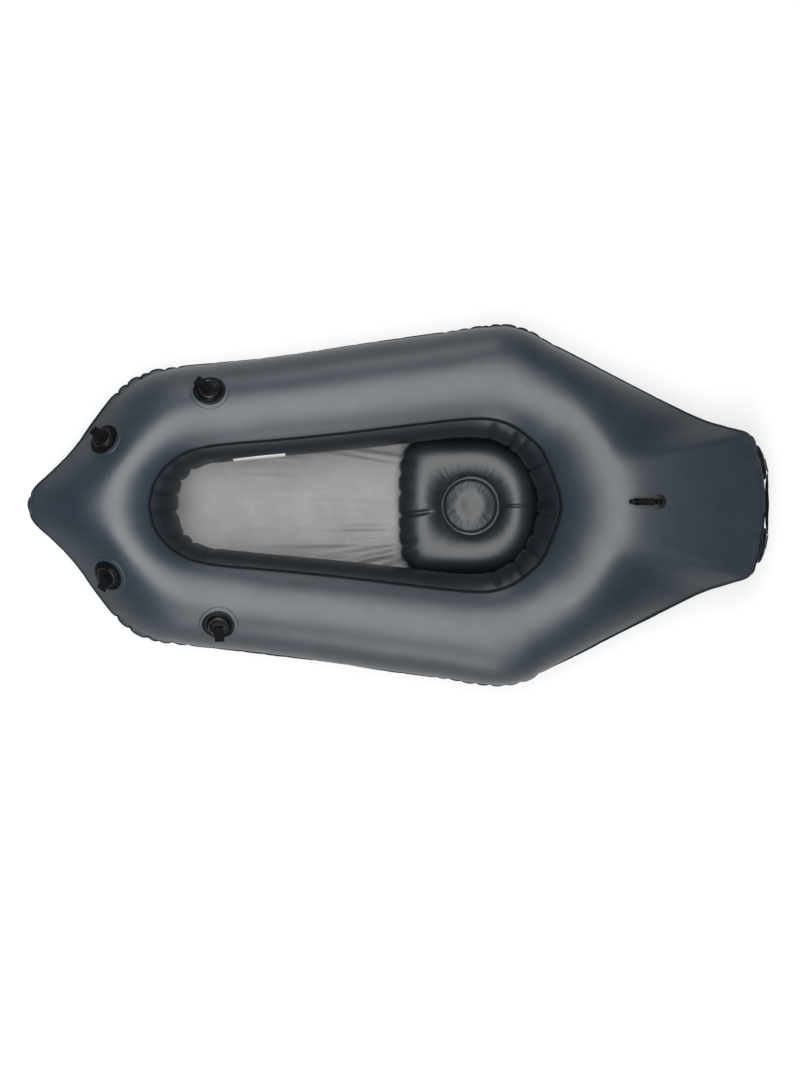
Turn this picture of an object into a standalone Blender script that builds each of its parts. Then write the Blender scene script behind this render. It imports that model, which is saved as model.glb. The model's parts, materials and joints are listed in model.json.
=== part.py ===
"""One-person inflatable packraft: welded hull skins, floor, seat, tie-downs and air fittings.

Metres, +Z up. The bow points to -X, starboard is +Y, and the origin is the middle of the boat on the
ground. The air chamber is one surface round the cockpit. A place on it has two coordinates: the spoke,
counted along the half outline from the bow to the stern, and the angle round the tube, from the
cockpit side (0) over the crest (90) to the rim (180) and under the keel line (270).
"""

import math

import bmesh
import bpy
from mathutils import Matrix, Vector
from mathutils.bvhtree import BVHTree

# The starboard half of the outline as spokes: the rim's point, the cockpit wall's point, and the crest's
# share of the way from the wall to the rim.
SPOKES = (
    ((-1.000, 0.000), (-0.6060, 0.0000), 0.437),
    ((-0.984, 0.045), (-0.6050, 0.0240), 0.434),
    ((-0.925, 0.103), (-0.6000, 0.0500), 0.471),
    ((-0.872, 0.160), (-0.5870, 0.0750), 0.485),
    ((-0.820, 0.232), (-0.5620, 0.0980), 0.475),
    ((-0.767, 0.303), (-0.5240, 0.1130), 0.469),
    ((-0.722, 0.343), (-0.4800, 0.1185), 0.484),
    ((-0.668, 0.367), (-0.4340, 0.1230), 0.491),
    ((-0.600, 0.377), (-0.3780, 0.1290), 0.496),
    ((-0.500, 0.386), (-0.3020, 0.1360), 0.499),
    ((-0.380, 0.399), (-0.2200, 0.1435), 0.498),
    ((-0.250, 0.416), (-0.1300, 0.1525), 0.498),
    ((-0.110, 0.437), (-0.0300, 0.1635), 0.499),
    ((0.020, 0.455), (0.0600, 0.1745), 0.494),
    ((0.130, 0.471), (0.1300, 0.1825), 0.490),
    ((0.215, 0.486), (0.1850, 0.1855), 0.491),
    ((0.285, 0.490), (0.2280, 0.1845), 0.493),
    ((0.350, 0.474), (0.2640, 0.1765), 0.498),
    ((0.405, 0.441), (0.2940, 0.1610), 0.525),
    ((0.500, 0.392), (0.3200, 0.1390), 0.527),
    ((0.600, 0.341), (0.3390, 0.1150), 0.535),
    ((0.800, 0.242), (0.3610, 0.0730), 0.434),
    ((0.880, 0.213), (0.3675, 0.0530), 0.403),
    ((0.930, 0.198), (0.3715, 0.0370), 0.387),
    ((0.948, 0.187), (0.3730, 0.0300), 0.382),
    ((0.957, 0.172), (0.3742, 0.0245), 0.382),
    ((0.964, 0.148), (0.3752, 0.0195), 0.382),
    ((0.970, 0.118), (0.3760, 0.0148), 0.382),
    ((0.976, 0.085), (0.3768, 0.0100), 0.381),
    ((0.981, 0.050), (0.3774, 0.0060), 0.381),
    ((0.984, 0.000), (0.3778, 0.0000), 0.381),
)
LAST_SPOKE = len(SPOKES) - 1
RIM, WALL, CREST = 0, 1, 2

# Each of these is given at the bow, along the sides and at the stern.
CREST_HEIGHT = (0.330, 0.292, 0.312)
KEEL_HEIGHT = (0.036, 0.0, 0.010)
KEEL_SHARE = (0.40, 0.50, 0.34)
SEAM_ANGLE = (51.0, 46.5, 40.0)
TOP_FLATNESS = (0.90, 0.0, 0.95)
TOP_EASE = (0.45, 0.20, 0.17)
BOTTOM_FLATNESS = (0.55, 0.0, 0.60)
BOW_BLEND = (-0.92, -0.50)
STERN_BLEND = (0.40, 0.92)
WALL_HEIGHT = 0.148
RIM_HEIGHT = (0.225, 0.150, 0.215)
RIM_STERN_BLEND = (0.78, 0.975)
CREST_ANGLE = 90.0
KEEL_ANGLE = 270.0
FLOOR_SEAM_ANGLE = -65.0

# The blunt end face of the stern.
END_FACE_HEIGHT = 0.130
END_FACE_BLEND = (0.920, 0.975)
END_FACE_X = 0.986
END_FACE_HALF_WIDTH = 0.178
END_FACE_CORNER = 0.034
END_FACE_SQUARENESS = 4.0
END_FACE_TUCK = 0.006
END_PANEL_MIN_DROP = 0.010

# Skins, seams and the clear gaps between pieces.
SKIN = 0.0010
GAP = 0.0004
SEAM_GAP = 0.0007
PIPING_HALF_WIDTH = 0.0030
PIPING_RISE = 0.0022
TAPE_HALF_WIDTH = 0.0070
TAPE_RISE = 0.0012
TUBE_RADIUS = 0.146
TOP_ROWS = 12
WALL_ROWS = 8
BOTTOM_ROWS = (5, 2)
END_ROWS = 4

# The floor sheet.
FLOOR_LAP = 0.012
FLOOR_SPINE = (-0.45, 0.30)
FLOOR_ROWS = 3
FLOOR_FLAT_SHARE = 0.66

# The blank strip on the starboard cockpit wall.
STRIP_X = (-0.451, -0.310)
STRIP_Z = (0.150, 0.192)
STRIP_LIFT = 0.0011
STRIP_THICKNESS = 0.0005
STRIP_ROWS = 3
STRIP_COLUMNS = 6

# Tie-downs: fabric disc, moulded puck in rings of (radius, height) and a loop of 25 mm webbing.
DISC_RADIUS = 0.052
DISC_INNER_RADIUS = 0.022
DISC_LIFT = 0.0014
STERN_DISC_LIFT = 0.0020
DISC_THICKNESS = 0.0008
DISC_GAP = 0.0009
PUCK_FLANGE_RADIUS = 0.043
PUCK_DOME_RADIUS = 0.031
PUCK_HEIGHT = 0.0080
PUCK_RINGS = ((0.0422, 0.0016), (0.0322, 0.0016), (0.0302, 0.0044), (0.0275, 0.0070), (0.024, PUCK_HEIGHT))
FLANGE_THICKNESS = 0.0016
WEBBING_WIDTH = 0.025
WEBBING_THICKNESS = 0.0015
LOOP_LENGTH = 0.043
LOOP_RADIUS = 0.0026
LOOP_ROOT_RADIUS = 0.0015
LOOP_END_POINTS = 7
LOOP_ROOT_POINTS = 4
TIE_DOWNS = {
    "bow_starboard": ((-0.792, 0.176), (-0.70, 0.60)),
    "bow_port": ((-0.781, -0.188), (-0.55, -0.85)),
    "fore_starboard": ((-0.510, 0.307), (-0.75, 0.60)),
    "fore_port": ((-0.486, -0.321), (0.05, -1.0)),
}
STERN_TIES = {"stern_starboard": (0.118, 0.152), "stern_port": (-0.108, 0.152)}
GRAB_STRAP_THICKNESS = 0.0020
GRAB_STRAP_BOW = 0.0012
GRAB_STRAP_DROOP = 0.006
GRAB_STRAP_POINTS = 11
STRAP_END_OVERLAP = 0.006
STRAP_END_CLEAR = 0.0016
STRAP_END_WIDTH = 0.012
STRAP_SPREAD = 4.0

# Seat cushion, in rings round its centre weld: (share of the outline, height), then (radius, height).
SEAT_CENTRE = (0.192, 0.0)
SEAT_FRONT = 0.190
SEAT_REAR = 0.181
SEAT_HALF_WIDTH = 0.184
SEAT_FRONT_SQUARENESS = 6.0
SEAT_REAR_SQUARENESS = 2.6
SEAT_SEGMENTS = 44
SEAT_BOTTOM = 0.0050
SEAT_EDGE_RINGS = ((0.86, SEAT_BOTTOM), (0.955, 0.017), (1.0, 0.052), (0.965, 0.086), (0.87, 0.106))
SEAT_INNER_RINGS = ((0.122, 0.112), (0.098, 0.100), (0.078, 0.076), (0.071, 0.076), (0.045, 0.089))
SEAT_DOME_TOP = 0.093
GRIP_PAD_SIZE = (0.16, 0.12, 0.0024)
GRIP_PAD_BOTTOM = 0.0021
SEAT_VALVE_Y = -0.045
SEAT_VALVE_Z = 0.052
SEAT_VALVE_CLEAR = 0.0016
SEAT_VALVE_RADIUS = 0.0065
SEAT_VALVE_BORE = 0.0040
SEAT_VALVE_LENGTH = 0.014
SEAT_VALVE_FOOT = 0.0020
SEAT_VALVE_FOOT_RADIUS = 0.0104
SEAT_PLUG_LENGTH = 0.006
SEAT_PLUG_HEAD = 0.0035

# Top-off tube on the stern deck.
MOUTH_BASE = (0.692, 0.009)
MOUTH_FLANGE_RADIUS = 0.019
MOUTH_FLANGE_INNER = 0.0095
MOUTH_ELBOW_RADIUS = 0.009
MOUTH_ELBOW_RUN = 0.002
MOUTH_ELBOW_THICKNESS = 0.0080
MOUTH_ELBOW_POINTS = 4
MOUTH_HOSE_RADIUS = 0.0090
MOUTH_HOSE_BORE = 0.0060
MOUTH_HOSE_LIFT = 0.0150
MOUTH_HOSE_LENGTH = 0.044
MOUTH_BALL_POINTS = 4
MOUTH_NOZZLE_LENGTH = 0.022
MOUTH_NOZZLE_RADIUS = 0.0098
MOUTH_NECK_RADIUS = 0.0071
MOUTH_TIP_RADIUS = 0.0059
MOUTH_COLLAR_LENGTH = 0.008
MOUTH_SPIGOT_LENGTH = 0.008
MOUTH_BORE = 0.0032

# Main valve on the port stern quarter, under the rim.
VALVE_OUTSIDE = (0.86, -0.52, 0.030)
VALVE_INSIDE = (0.640, -0.200, 0.110)
VALVE_HOLE = 0.0180
VALVE_CUTTER_DEPTH = 0.06
VALVE_LIFT = 0.0028
VALVE_FLANGE_RADIUS = 0.040
VALVE_BASE_RADIUS = 0.0260
VALVE_BORE = 0.0140
VALVE_WALL = 0.0030
VALVE_HEIGHT = 0.0080
VALVE_SPIGOT = 0.0080
VALVE_INSERT_DEPTH = 0.0050
VALVE_LIP_RADIUS = 0.0220
VALVE_LIP_HEIGHT = 0.0026
VALVE_CAP_HEIGHT = 0.0060
VALVE_CAP_EDGE = 0.0018

# Fineness of round pieces, and where a ray to a skin starts and how wide the normal is taken.
DISC_SEGMENTS = 20
TURNED_STEPS = 20
ELBOW_RESOLUTION = 3
MERGE_DISTANCE = 0.00001
RAY_START = 0.06
RAY_TOP = 1.0
RAY_STERN = 1.3
NORMAL_SPREAD = 0.02
SHARP_ANGLE = math.radians(35.0)

COLLECTION = "Packraft"
CUTTERS = "Cutters"

SLATE = (0.048, 0.058, 0.068, 1.0)
NAVY = (0.010, 0.013, 0.017, 1.0)
BLACK = (0.006, 0.006, 0.007, 1.0)
GREY = (0.200, 0.208, 0.208, 1.0)
PALE = (0.620, 0.620, 0.600, 1.0)


def clear_scene():
    """Removes whatever the scene holds at the start."""
    for obj in list(bpy.data.objects):
        bpy.data.objects.remove(obj)


def add_collection(name):
    """A new collection in the scene."""
    collection = bpy.data.collections.new(name)
    bpy.context.scene.collection.children.link(collection)
    return collection


def add_material(name, colour, roughness):
    """A Principled material with one colour."""
    material = bpy.data.materials.new(name)
    material.use_nodes = True
    shader = material.node_tree.nodes["Principled BSDF"]
    shader.inputs["Base Color"].default_value = colour
    shader.inputs["Roughness"].default_value = roughness
    return material


def add_object(name, mesh, material, collection=COLLECTION):
    """A mesh object with its material, in the collection."""
    obj = bpy.data.objects.new(name, mesh)
    mesh.materials.append(material)
    bpy.data.collections[collection].objects.link(obj)
    return obj


def mesh_from_grid(name, rows, closed=False):
    """A mesh of quads through rows of points. A closed grid joins each row's end to its start."""
    shape = bmesh.new()
    grid = [[shape.verts.new(point) for point in row] for row in rows]
    columns = len(grid[0])
    for low, high in zip(grid, grid[1:]):
        for k in range(columns if closed else columns - 1):
            after = (k + 1) % columns
            shape.faces.new((low[k], low[after], high[after], high[k]))
    mesh = bpy.data.meshes.new(name)
    shape.to_mesh(mesh)
    shape.free()
    return mesh


def evaluated(obj):
    """The object as its modifiers leave it, as a tree for ray casts in world space."""
    depsgraph = bpy.context.evaluated_depsgraph_get()
    return BVHTree.FromObject(obj, depsgraph)


def smooth_step(share):
    """0 to 1 with level ends."""
    share = min(max(share, 0.0), 1.0)
    return share * share * (3.0 - 2.0 * share)


def ramp(value, span):
    """0 before the span, 1 after it."""
    return smooth_step((value - span[0]) / (span[1] - span[0]))


def along_boat(x, values, stern_blend=STERN_BLEND):
    """A value that changes from the bow's to the sides' to the stern's."""
    bow, side, stern = values
    return bow + (side - bow) * ramp(x, BOW_BLEND) + (stern - side) * ramp(x, stern_blend)


def mix(first, second, share):
    """The point between two points."""
    return tuple(a + (b - a) * share for a, b in zip(first, second))


def spoke_point(spoke, end):
    """The rim's or the cockpit wall's point of a spoke, in plan."""
    before = min(int(spoke), LAST_SPOKE - 1)
    return mix(SPOKES[before][end], SPOKES[before + 1][end], spoke - before)


def crest_share(spoke):
    """The crest's share of the way from the wall to the rim."""
    before = min(int(spoke), LAST_SPOKE - 1)
    first, second = SPOKES[before][CREST], SPOKES[before + 1][CREST]
    return first + (second - first) * (spoke - before)


def quarter(step, flatness=0.0, ease=0.0):
    """Shares of reach and of height along a quarter of the tube's section, from its top to its side.

    Flatness 0 gives an ellipse and 1 a straight line, which the ease rounds off at the top.
    """
    angle = math.radians(step)
    share = step / 90.0
    fall = (math.hypot(share, ease) - ease) / (math.hypot(1.0, ease) - ease)
    reach = (1.0 - flatness) * math.sin(angle) + flatness * share
    height = (1.0 - flatness) * math.cos(angle) + flatness * (1.0 - fall)
    return reach, height


def rim_drop(x):
    """How far the lower rim lies under the upper one: only the stern's end face parts them."""
    return END_FACE_HEIGHT * ramp(x, END_FACE_BLEND)


def end_face_point(spoke, share):
    """A point of the stern's end face, from the upper rim (0) to the lower rim (1)."""
    x, y = spoke_point(spoke, RIM)
    z = along_boat(x, RIM_HEIGHT, RIM_STERN_BLEND)
    drop = rim_drop(x)
    full = drop / END_FACE_HEIGHT
    middle_x = END_FACE_X - END_FACE_CORNER * (y / END_FACE_HALF_WIDTH) ** END_FACE_SQUARENESS
    low_x = x + (middle_x - END_FACE_TUCK - x) * full
    swell = (middle_x - (x + low_x) / 2.0) * full
    return Vector((x + (low_x - x) * share + swell * math.sin(math.pi * share), y, z - drop * share))


def hull_point(spoke, angle):
    """A point of the air chamber's skin."""
    rim = spoke_point(spoke, RIM)
    wall = spoke_point(spoke, WALL)
    x = rim[0]
    if angle < 0.0:
        angle += 360.0
    if angle <= 180.0:
        middle = mix(wall, rim, crest_share(spoke))
        height = along_boat(x, CREST_HEIGHT)
        rim_place = Vector((*rim, along_boat(x, RIM_HEIGHT, RIM_STERN_BLEND)))
        step = abs(angle - CREST_ANGLE)
        shape = (along_boat(x, TOP_FLATNESS), along_boat(x, TOP_EASE))
    else:
        middle = mix(wall, rim, along_boat(x, KEEL_SHARE))
        height = along_boat(x, KEEL_HEIGHT) + SKIN + GAP
        rim_place = end_face_point(spoke, 1.0)
        step = abs(angle - KEEL_ANGLE)
        shape = (along_boat(x, BOTTOM_FLATNESS),)
    if CREST_ANGLE <= angle <= KEEL_ANGLE:
        reach, rise = quarter(step, *shape)
        side = rim_place
    else:
        reach, rise = quarter(step)
        side = Vector((*wall, WALL_HEIGHT))
    plan = mix(middle, (side.x, side.y), reach)
    return Vector((*plan, side.z + (height - side.z) * rise))


def under_rim_point(spoke, depth):
    """A point measured down from the upper rim: on the end face first, then on the lower skin."""
    drop = rim_drop(spoke_point(spoke, RIM)[0])
    if depth < drop:
        return end_face_point(spoke, depth / drop)
    return hull_point(spoke, 180.0 + math.degrees((depth - drop) / TUBE_RADIUS))


def seam_angle(spoke):
    """The cockpit seam's angle round the tube."""
    return along_boat(spoke_point(spoke, RIM)[0], SEAM_ANGLE)


def skin_object(name, rows, material, thickness, outward=False, mirrored=True):
    """A skin through rows of points: its port half is the mirror image, and it has its thickness."""
    obj = add_object(name, mesh_from_grid(name, rows), material)
    if mirrored:
        mirror = obj.modifiers.new("Port half", "MIRROR")
        mirror.use_axis = (False, True, False)
        mirror.merge_threshold = MERGE_DISTANCE
    solidify = obj.modifiers.new("Thickness", "SOLIDIFY")
    solidify.thickness = thickness
    solidify.offset = 1.0 if outward else -1.0
    obj.data.shade_smooth()
    return obj


def hull_band(name, edges, row_count, material):
    """A skin panel between two edges, each a function of the spoke that gives an angle."""
    start, end = edges
    rows = []
    for row in range(row_count + 1):
        share = row / row_count
        rows.append([
            hull_point(spoke, start(spoke) + (end(spoke) - start(spoke)) * share)
            for spoke in range(LAST_SPOKE + 1)
        ])
    return skin_object(name, rows, material, SKIN)


def build_top_panel(material):
    """The upper sheet, from the cockpit seam over the crest to the rim."""
    seam_clear = math.degrees((PIPING_HALF_WIDTH + SEAM_GAP) / TUBE_RADIUS)
    rim_clear = math.degrees((TAPE_HALF_WIDTH + SEAM_GAP) / TUBE_RADIUS)
    edges = (lambda spoke: seam_angle(spoke) + seam_clear, lambda spoke: 180.0 - rim_clear)
    return hull_band("tube_top_panel", edges, TOP_ROWS, material)


def build_inner_wall(material):
    """The cockpit's wall, from the floor seam up to the cockpit seam."""
    seam_clear = math.degrees((PIPING_HALF_WIDTH + SEAM_GAP) / TUBE_RADIUS)
    edges = (lambda spoke: FLOOR_SEAM_ANGLE, lambda spoke: seam_angle(spoke) - seam_clear)
    return hull_band("tube_inner_wall_panel", edges, WALL_ROWS, material)


def build_bottom_panel(material):
    """The lower sheet, from the rim round the keel line to the floor seam."""
    floor_clear = math.degrees(SEAM_GAP / TUBE_RADIUS)
    last = 360.0 + FLOOR_SEAM_ANGLE - floor_clear
    outer_rows, inner_rows = BOTTOM_ROWS
    rows = []
    for row in range(outer_rows + inner_rows + 1):
        line = []
        for spoke in range(LAST_SPOKE + 1):
            drop = rim_drop(spoke_point(spoke, RIM)[0])
            depth = max(TAPE_HALF_WIDTH, drop) + SEAM_GAP
            first = 180.0 + math.degrees((depth - drop) / TUBE_RADIUS)
            if row <= outer_rows:
                angle = first + (KEEL_ANGLE - first) * row / outer_rows
            else:
                angle = KEEL_ANGLE + (last - KEEL_ANGLE) * (row - outer_rows) / inner_rows
            line.append(hull_point(spoke, angle))
        rows.append(line)
    return skin_object("tube_bottom_panel", rows, material, SKIN)


def build_end_panel(material):
    """The stern's end face, from the tape on the upper rim down to the lower sheet."""
    spokes = [s for s in range(LAST_SPOKE + 1) if rim_drop(spoke_point(s, RIM)[0]) > END_PANEL_MIN_DROP]
    top = TAPE_HALF_WIDTH + SEAM_GAP
    rows = []
    for row in range(END_ROWS + 1):
        line = []
        for spoke in spokes:
            bottom = rim_drop(spoke_point(spoke, RIM)[0]) - SEAM_GAP
            line.append(under_rim_point(spoke, top + (bottom - top) * row / END_ROWS))
        rows.append(line)
    return skin_object("stern_end_panel", rows, material, SKIN)


def build_seams(material):
    """The raised piping round the cockpit and the tape round the rim."""
    half = math.degrees(PIPING_HALF_WIDTH / TUBE_RADIUS)
    spokes = range(LAST_SPOKE + 1)
    piping = [[hull_point(s, seam_angle(s) + half * side) for s in spokes] for side in (-1.0, 1.0)]
    skin_object("cockpit_seam_piping", piping, material, PIPING_RISE, outward=True)
    half = math.degrees(TAPE_HALF_WIDTH / TUBE_RADIUS)
    tape = [
        [hull_point(s, 180.0 - half) for s in spokes],
        [under_rim_point(s, 0.0) for s in spokes],
        [under_rim_point(s, TAPE_HALF_WIDTH) for s in spokes],
    ]
    skin_object("perimeter_seam_tape", tape, material, TAPE_RISE, outward=True)


def build_floor(material):
    """The floor sheet, flat amidships and rising with the keel line at the bow and stern."""
    rows = []
    for row in range(FLOOR_ROWS + 1):
        share = row / FLOOR_ROWS
        line = []
        for spoke in range(LAST_SPOKE + 1):
            rim = Vector(spoke_point(spoke, RIM))
            keel = Vector(mix(spoke_point(spoke, WALL), rim, along_boat(rim.x, KEEL_SHARE)))
            keel += (rim - keel).normalized() * FLOOR_LAP
            spine_x = FLOOR_SPINE[0] + (FLOOR_SPINE[1] - FLOOR_SPINE[0]) * spoke / LAST_SPOKE
            height = along_boat(rim.x, KEEL_HEIGHT) * max(1.0 - share / FLOOR_FLAT_SHARE, 0.0) ** 2
            line.append((*mix(keel, (spine_x, 0.0), share), height))
        rows.append(line)
    return skin_object("floor_sheet", rows, material, SKIN)


def frame_from(origin, x_axis, z_axis):
    """A placement with its Z along z_axis and its X as near x_axis as that allows."""
    z_axis = Vector(z_axis).normalized()
    x_axis = Vector(x_axis)
    x_axis = (x_axis - z_axis * x_axis.dot(z_axis)).normalized()
    matrix = Matrix((x_axis, z_axis.cross(x_axis), z_axis)).transposed().to_4x4()
    matrix.translation = origin
    return matrix


def skin_frame(tree, origin, inward, pointing):
    """A placement on a skin where a ray meets it: Z is the skin's normal, X points as asked."""
    origin = Vector(origin)
    inward = Vector(inward).normalized()
    side = inward.orthogonal().normalized() * NORMAL_SPREAD
    across = inward.cross(side)
    hits = [tree.ray_cast(origin + step, inward)[0] for step in (side, -side, across, -across)]
    normal = (hits[0] - hits[1]).cross(hits[2] - hits[3])
    if normal.dot(inward) > 0.0:
        normal = -normal
    return frame_from(tree.ray_cast(origin, inward)[0], pointing, normal)


def draped_point(tree, frame, x, y, lift):
    """The point over a place of the frame's plane that lies the lift off the skin."""
    outward = frame.col[2].to_3d()
    hit = tree.ray_cast(frame @ Vector((x, y, RAY_START)), -outward)[0]
    return hit + outward * lift


def draped_ring(tree, frame, radius, lift):
    """A ring of points over the skin."""
    turns = [2.0 * math.pi * k / DISC_SEGMENTS for k in range(DISC_SEGMENTS)]
    return [draped_point(tree, frame, radius * math.cos(t), radius * math.sin(t), lift) for t in turns]


def solid_from_rings(name, rings, material, ends=None, place=None):
    """A closed solid through rings of points. Its two ends are single points, or it closes on itself."""
    shape = bmesh.new()
    loops = [[shape.verts.new(point) for point in ring] for ring in rings]
    count = len(loops[0])
    pairs = list(zip(loops, loops[1:]))
    if ends is None:
        pairs.append((loops[-1], loops[0]))
    for low, high in pairs:
        for k in range(count):
            after = (k + 1) % count
            shape.faces.new((low[k], low[after], high[after], high[k]))
    if ends is not None:
        for point, loop in zip(ends, (loops[0], loops[-1])):
            tip = shape.verts.new(point)
            for k in range(count):
                shape.faces.new((tip, loop[k], loop[(k + 1) % count]))
    bmesh.ops.recalc_face_normals(shape, faces=shape.faces)
    mesh = bpy.data.meshes.new(name)
    shape.to_mesh(mesh)
    shape.free()
    mesh.shade_smooth()
    mesh.set_sharp_from_angle(angle=SHARP_ANGLE)
    obj = add_object(name, mesh, material)
    if place is not None:
        obj.matrix_world = place
    return obj


def draped_disc(name, tree, frame, material, bottom, top):
    """A disc that follows the skin: rings of (radius, lift) outwards under it and inwards over it."""
    rings = [draped_ring(tree, frame, radius, lift) for radius, lift in bottom + top]
    ends = [draped_point(tree, frame, 0.0, 0.0, lift) for lift in (bottom[0][1], top[-1][1])]
    return solid_from_rings(name, rings, material, ends)


def turned(name, profile, place, material, hollow=False):
    """A turned solid. Its profile of (radius, height) runs down the outer side; a hollow one is a loop."""
    shape = bmesh.new()
    points = [shape.verts.new((radius, 0.0, height)) for radius, height in profile]
    for start, end in zip(points, points[1:]):
        shape.edges.new((start, end))
    if hollow:
        shape.edges.new((points[-1], points[0]))
    mesh = bpy.data.meshes.new(name)
    shape.to_mesh(mesh)
    shape.free()
    obj = add_object(name, mesh, material)
    screw = obj.modifiers.new("Turn", "SCREW")
    screw.steps = TURNED_STEPS
    screw.render_steps = TURNED_STEPS
    screw.use_merge_vertices = True
    screw.merge_threshold = MERGE_DISTANCE
    obj.matrix_world = place
    return obj


def bent_tube(name, points, radius, material):
    """A solid round tube along points, with its ends filled."""
    curve = bpy.data.curves.new(name, "CURVE")
    curve.dimensions = "3D"
    curve.bevel_depth = radius
    curve.bevel_resolution = ELBOW_RESOLUTION
    curve.use_fill_caps = True
    spline = curve.splines.new("POLY")
    spline.points.add(len(points) - 1)
    for place, point in zip(spline.points, points):
        place.co = (*point, 1.0)
    curve.materials.append(material)
    obj = bpy.data.objects.new(name, curve)
    bpy.data.collections[COLLECTION].objects.link(obj)
    return obj


def build_tie_disc(spot, tree, frame, lift, fabric, moulded):
    """The welded fabric disc and the raised puck on it. Gives the height of the puck's top."""
    bottom, top = lift, lift + DISC_THICKNESS
    under = [(DISC_INNER_RADIUS, bottom), (PUCK_FLANGE_RADIUS, bottom), (DISC_RADIUS, bottom)]
    over = [(DISC_RADIUS, top), (PUCK_FLANGE_RADIUS, top), (DISC_INNER_RADIUS, top)]
    draped_disc(f"tie_disc_{spot}", tree, frame, fabric, under, over)
    base = top + DISC_GAP
    under = [(DISC_INNER_RADIUS, base), (PUCK_FLANGE_RADIUS, base)]
    over = [(radius, base + height) for radius, height in PUCK_RINGS]
    draped_disc(f"tie_puck_{spot}", tree, frame, moulded, under, over)
    return base + PUCK_HEIGHT


def loop_profile():
    """The webbing loop from its side: a small round root and a wide round end, joined straight."""
    root = LOOP_ROOT_RADIUS
    reach = LOOP_LENGTH - LOOP_RADIUS
    tilt = math.asin((LOOP_RADIUS - root) / reach)
    half_turn = math.pi / 2.0 + tilt
    points = []
    for k in range(LOOP_END_POINTS):
        turn = half_turn * (2.0 * k / (LOOP_END_POINTS - 1) - 1.0)
        points.append((reach + LOOP_RADIUS * math.cos(turn), LOOP_RADIUS * math.sin(turn)))
    for k in range(LOOP_ROOT_POINTS):
        turn = half_turn + (2.0 * math.pi - 2.0 * half_turn) * k / (LOOP_ROOT_POINTS - 1)
        points.append((root * math.cos(turn), root * math.sin(turn)))
    return points, tilt


def build_tie_loop(spot, frame, height, material):
    """The webbing loop, lying on the puck and turning about its root."""
    profile, tilt = loop_profile()
    half = WEBBING_WIDTH / 2.0
    rows = [[(x, side, z) for x, z in profile] for side in (-half, half)]
    obj = add_object(f"tie_loop_{spot}", mesh_from_grid(spot, rows, closed=True), material)
    solidify = obj.modifiers.new("Thickness", "SOLIDIFY")
    solidify.thickness = WEBBING_THICKNESS
    solidify.offset = 0.0
    lift = height + GAP + WEBBING_THICKNESS / 2.0 + LOOP_ROOT_RADIUS
    obj.matrix_world = frame @ Matrix.Translation((0.0, 0.0, lift)) @ Matrix.Rotation(-tilt, 4, "Y")


def build_tie_downs(top_tree, fabric, moulded, webbing):
    """The four tie-downs on the bow half."""
    for spot, (place, pointing) in TIE_DOWNS.items():
        frame = skin_frame(top_tree, (*place, RAY_TOP), (0.0, 0.0, -1.0), (*pointing, 0.0))
        height = build_tie_disc(spot, top_tree, frame, DISC_LIFT, fabric, moulded)
        build_tie_loop(spot, frame, height, webbing)


def strap_ribbon(name, points, widths, material, origin):
    """A flat strap through points, standing across X, with its own width at each."""
    rows = []
    for side in (-0.5, 0.5):
        rows.append([Vector(p) + Vector((0.0, 0.0, w * side)) - origin for p, w in zip(points, widths)])
    obj = add_object(name, mesh_from_grid(name, rows), material)
    solidify = obj.modifiers.new("Thickness", "SOLIDIFY")
    solidify.thickness = GRAB_STRAP_THICKNESS
    solidify.offset = 0.0
    obj.location = origin


def build_stern_grab(end_tree, fabric, moulded, webbing):
    """The two stern tie-downs, the strap's fixed ends on them and the strap that swings between."""
    leaving = []
    for (spot, (y, z)), inboard in zip(STERN_TIES.items(), (-1.0, 1.0)):
        frame = skin_frame(end_tree, (RAY_STERN, y, z), (-1.0, 0.0, 0.0), (0.0, inboard, 0.0))
        height = build_tie_disc(spot, end_tree, frame, STERN_DISC_LIFT, fabric, moulded)
        lift = height + GAP + GRAB_STRAP_THICKNESS / 2.0
        start = frame @ Vector((-STRAP_END_OVERLAP, 0.0, lift))
        end = frame @ Vector((PUCK_DOME_RADIUS, 0.0, lift))
        widths = (STRAP_END_WIDTH, STRAP_END_WIDTH)
        middle = (start + end) / 2.0
        strap_ribbon(f"grab_strap_end_{spot}", (start, end), widths, webbing, middle)
        leaving.append(frame @ Vector((PUCK_DOME_RADIUS + STRAP_END_CLEAR, 0.0, lift)))
    first, last = leaving
    origin = (first + last) / 2.0
    points = []
    widths = []
    for k in range(GRAB_STRAP_POINTS):
        share = k / (GRAB_STRAP_POINTS - 1)
        arch = 4.0 * share * (1.0 - share)
        points.append(first.lerp(last, share) + Vector((GRAB_STRAP_BOW, 0.0, -GRAB_STRAP_DROOP)) * arch)
        spread = smooth_step(min(share, 1.0 - share) * STRAP_SPREAD)
        widths.append(STRAP_END_WIDTH + (WEBBING_WIDTH - STRAP_END_WIDTH) * spread)
    strap_ribbon("stern_grab_strap", points, widths, webbing, origin)


def seat_reach(turn):
    """The seat's outline as a distance from its centre weld."""
    ahead = math.cos(turn) < 0.0
    length = SEAT_FRONT if ahead else SEAT_REAR
    power = SEAT_FRONT_SQUARENESS if ahead else SEAT_REAR_SQUARENESS
    along = abs(math.cos(turn) / length) ** power
    across = abs(math.sin(turn) / SEAT_HALF_WIDTH) ** power
    return (along + across) ** (-1.0 / power)


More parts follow.
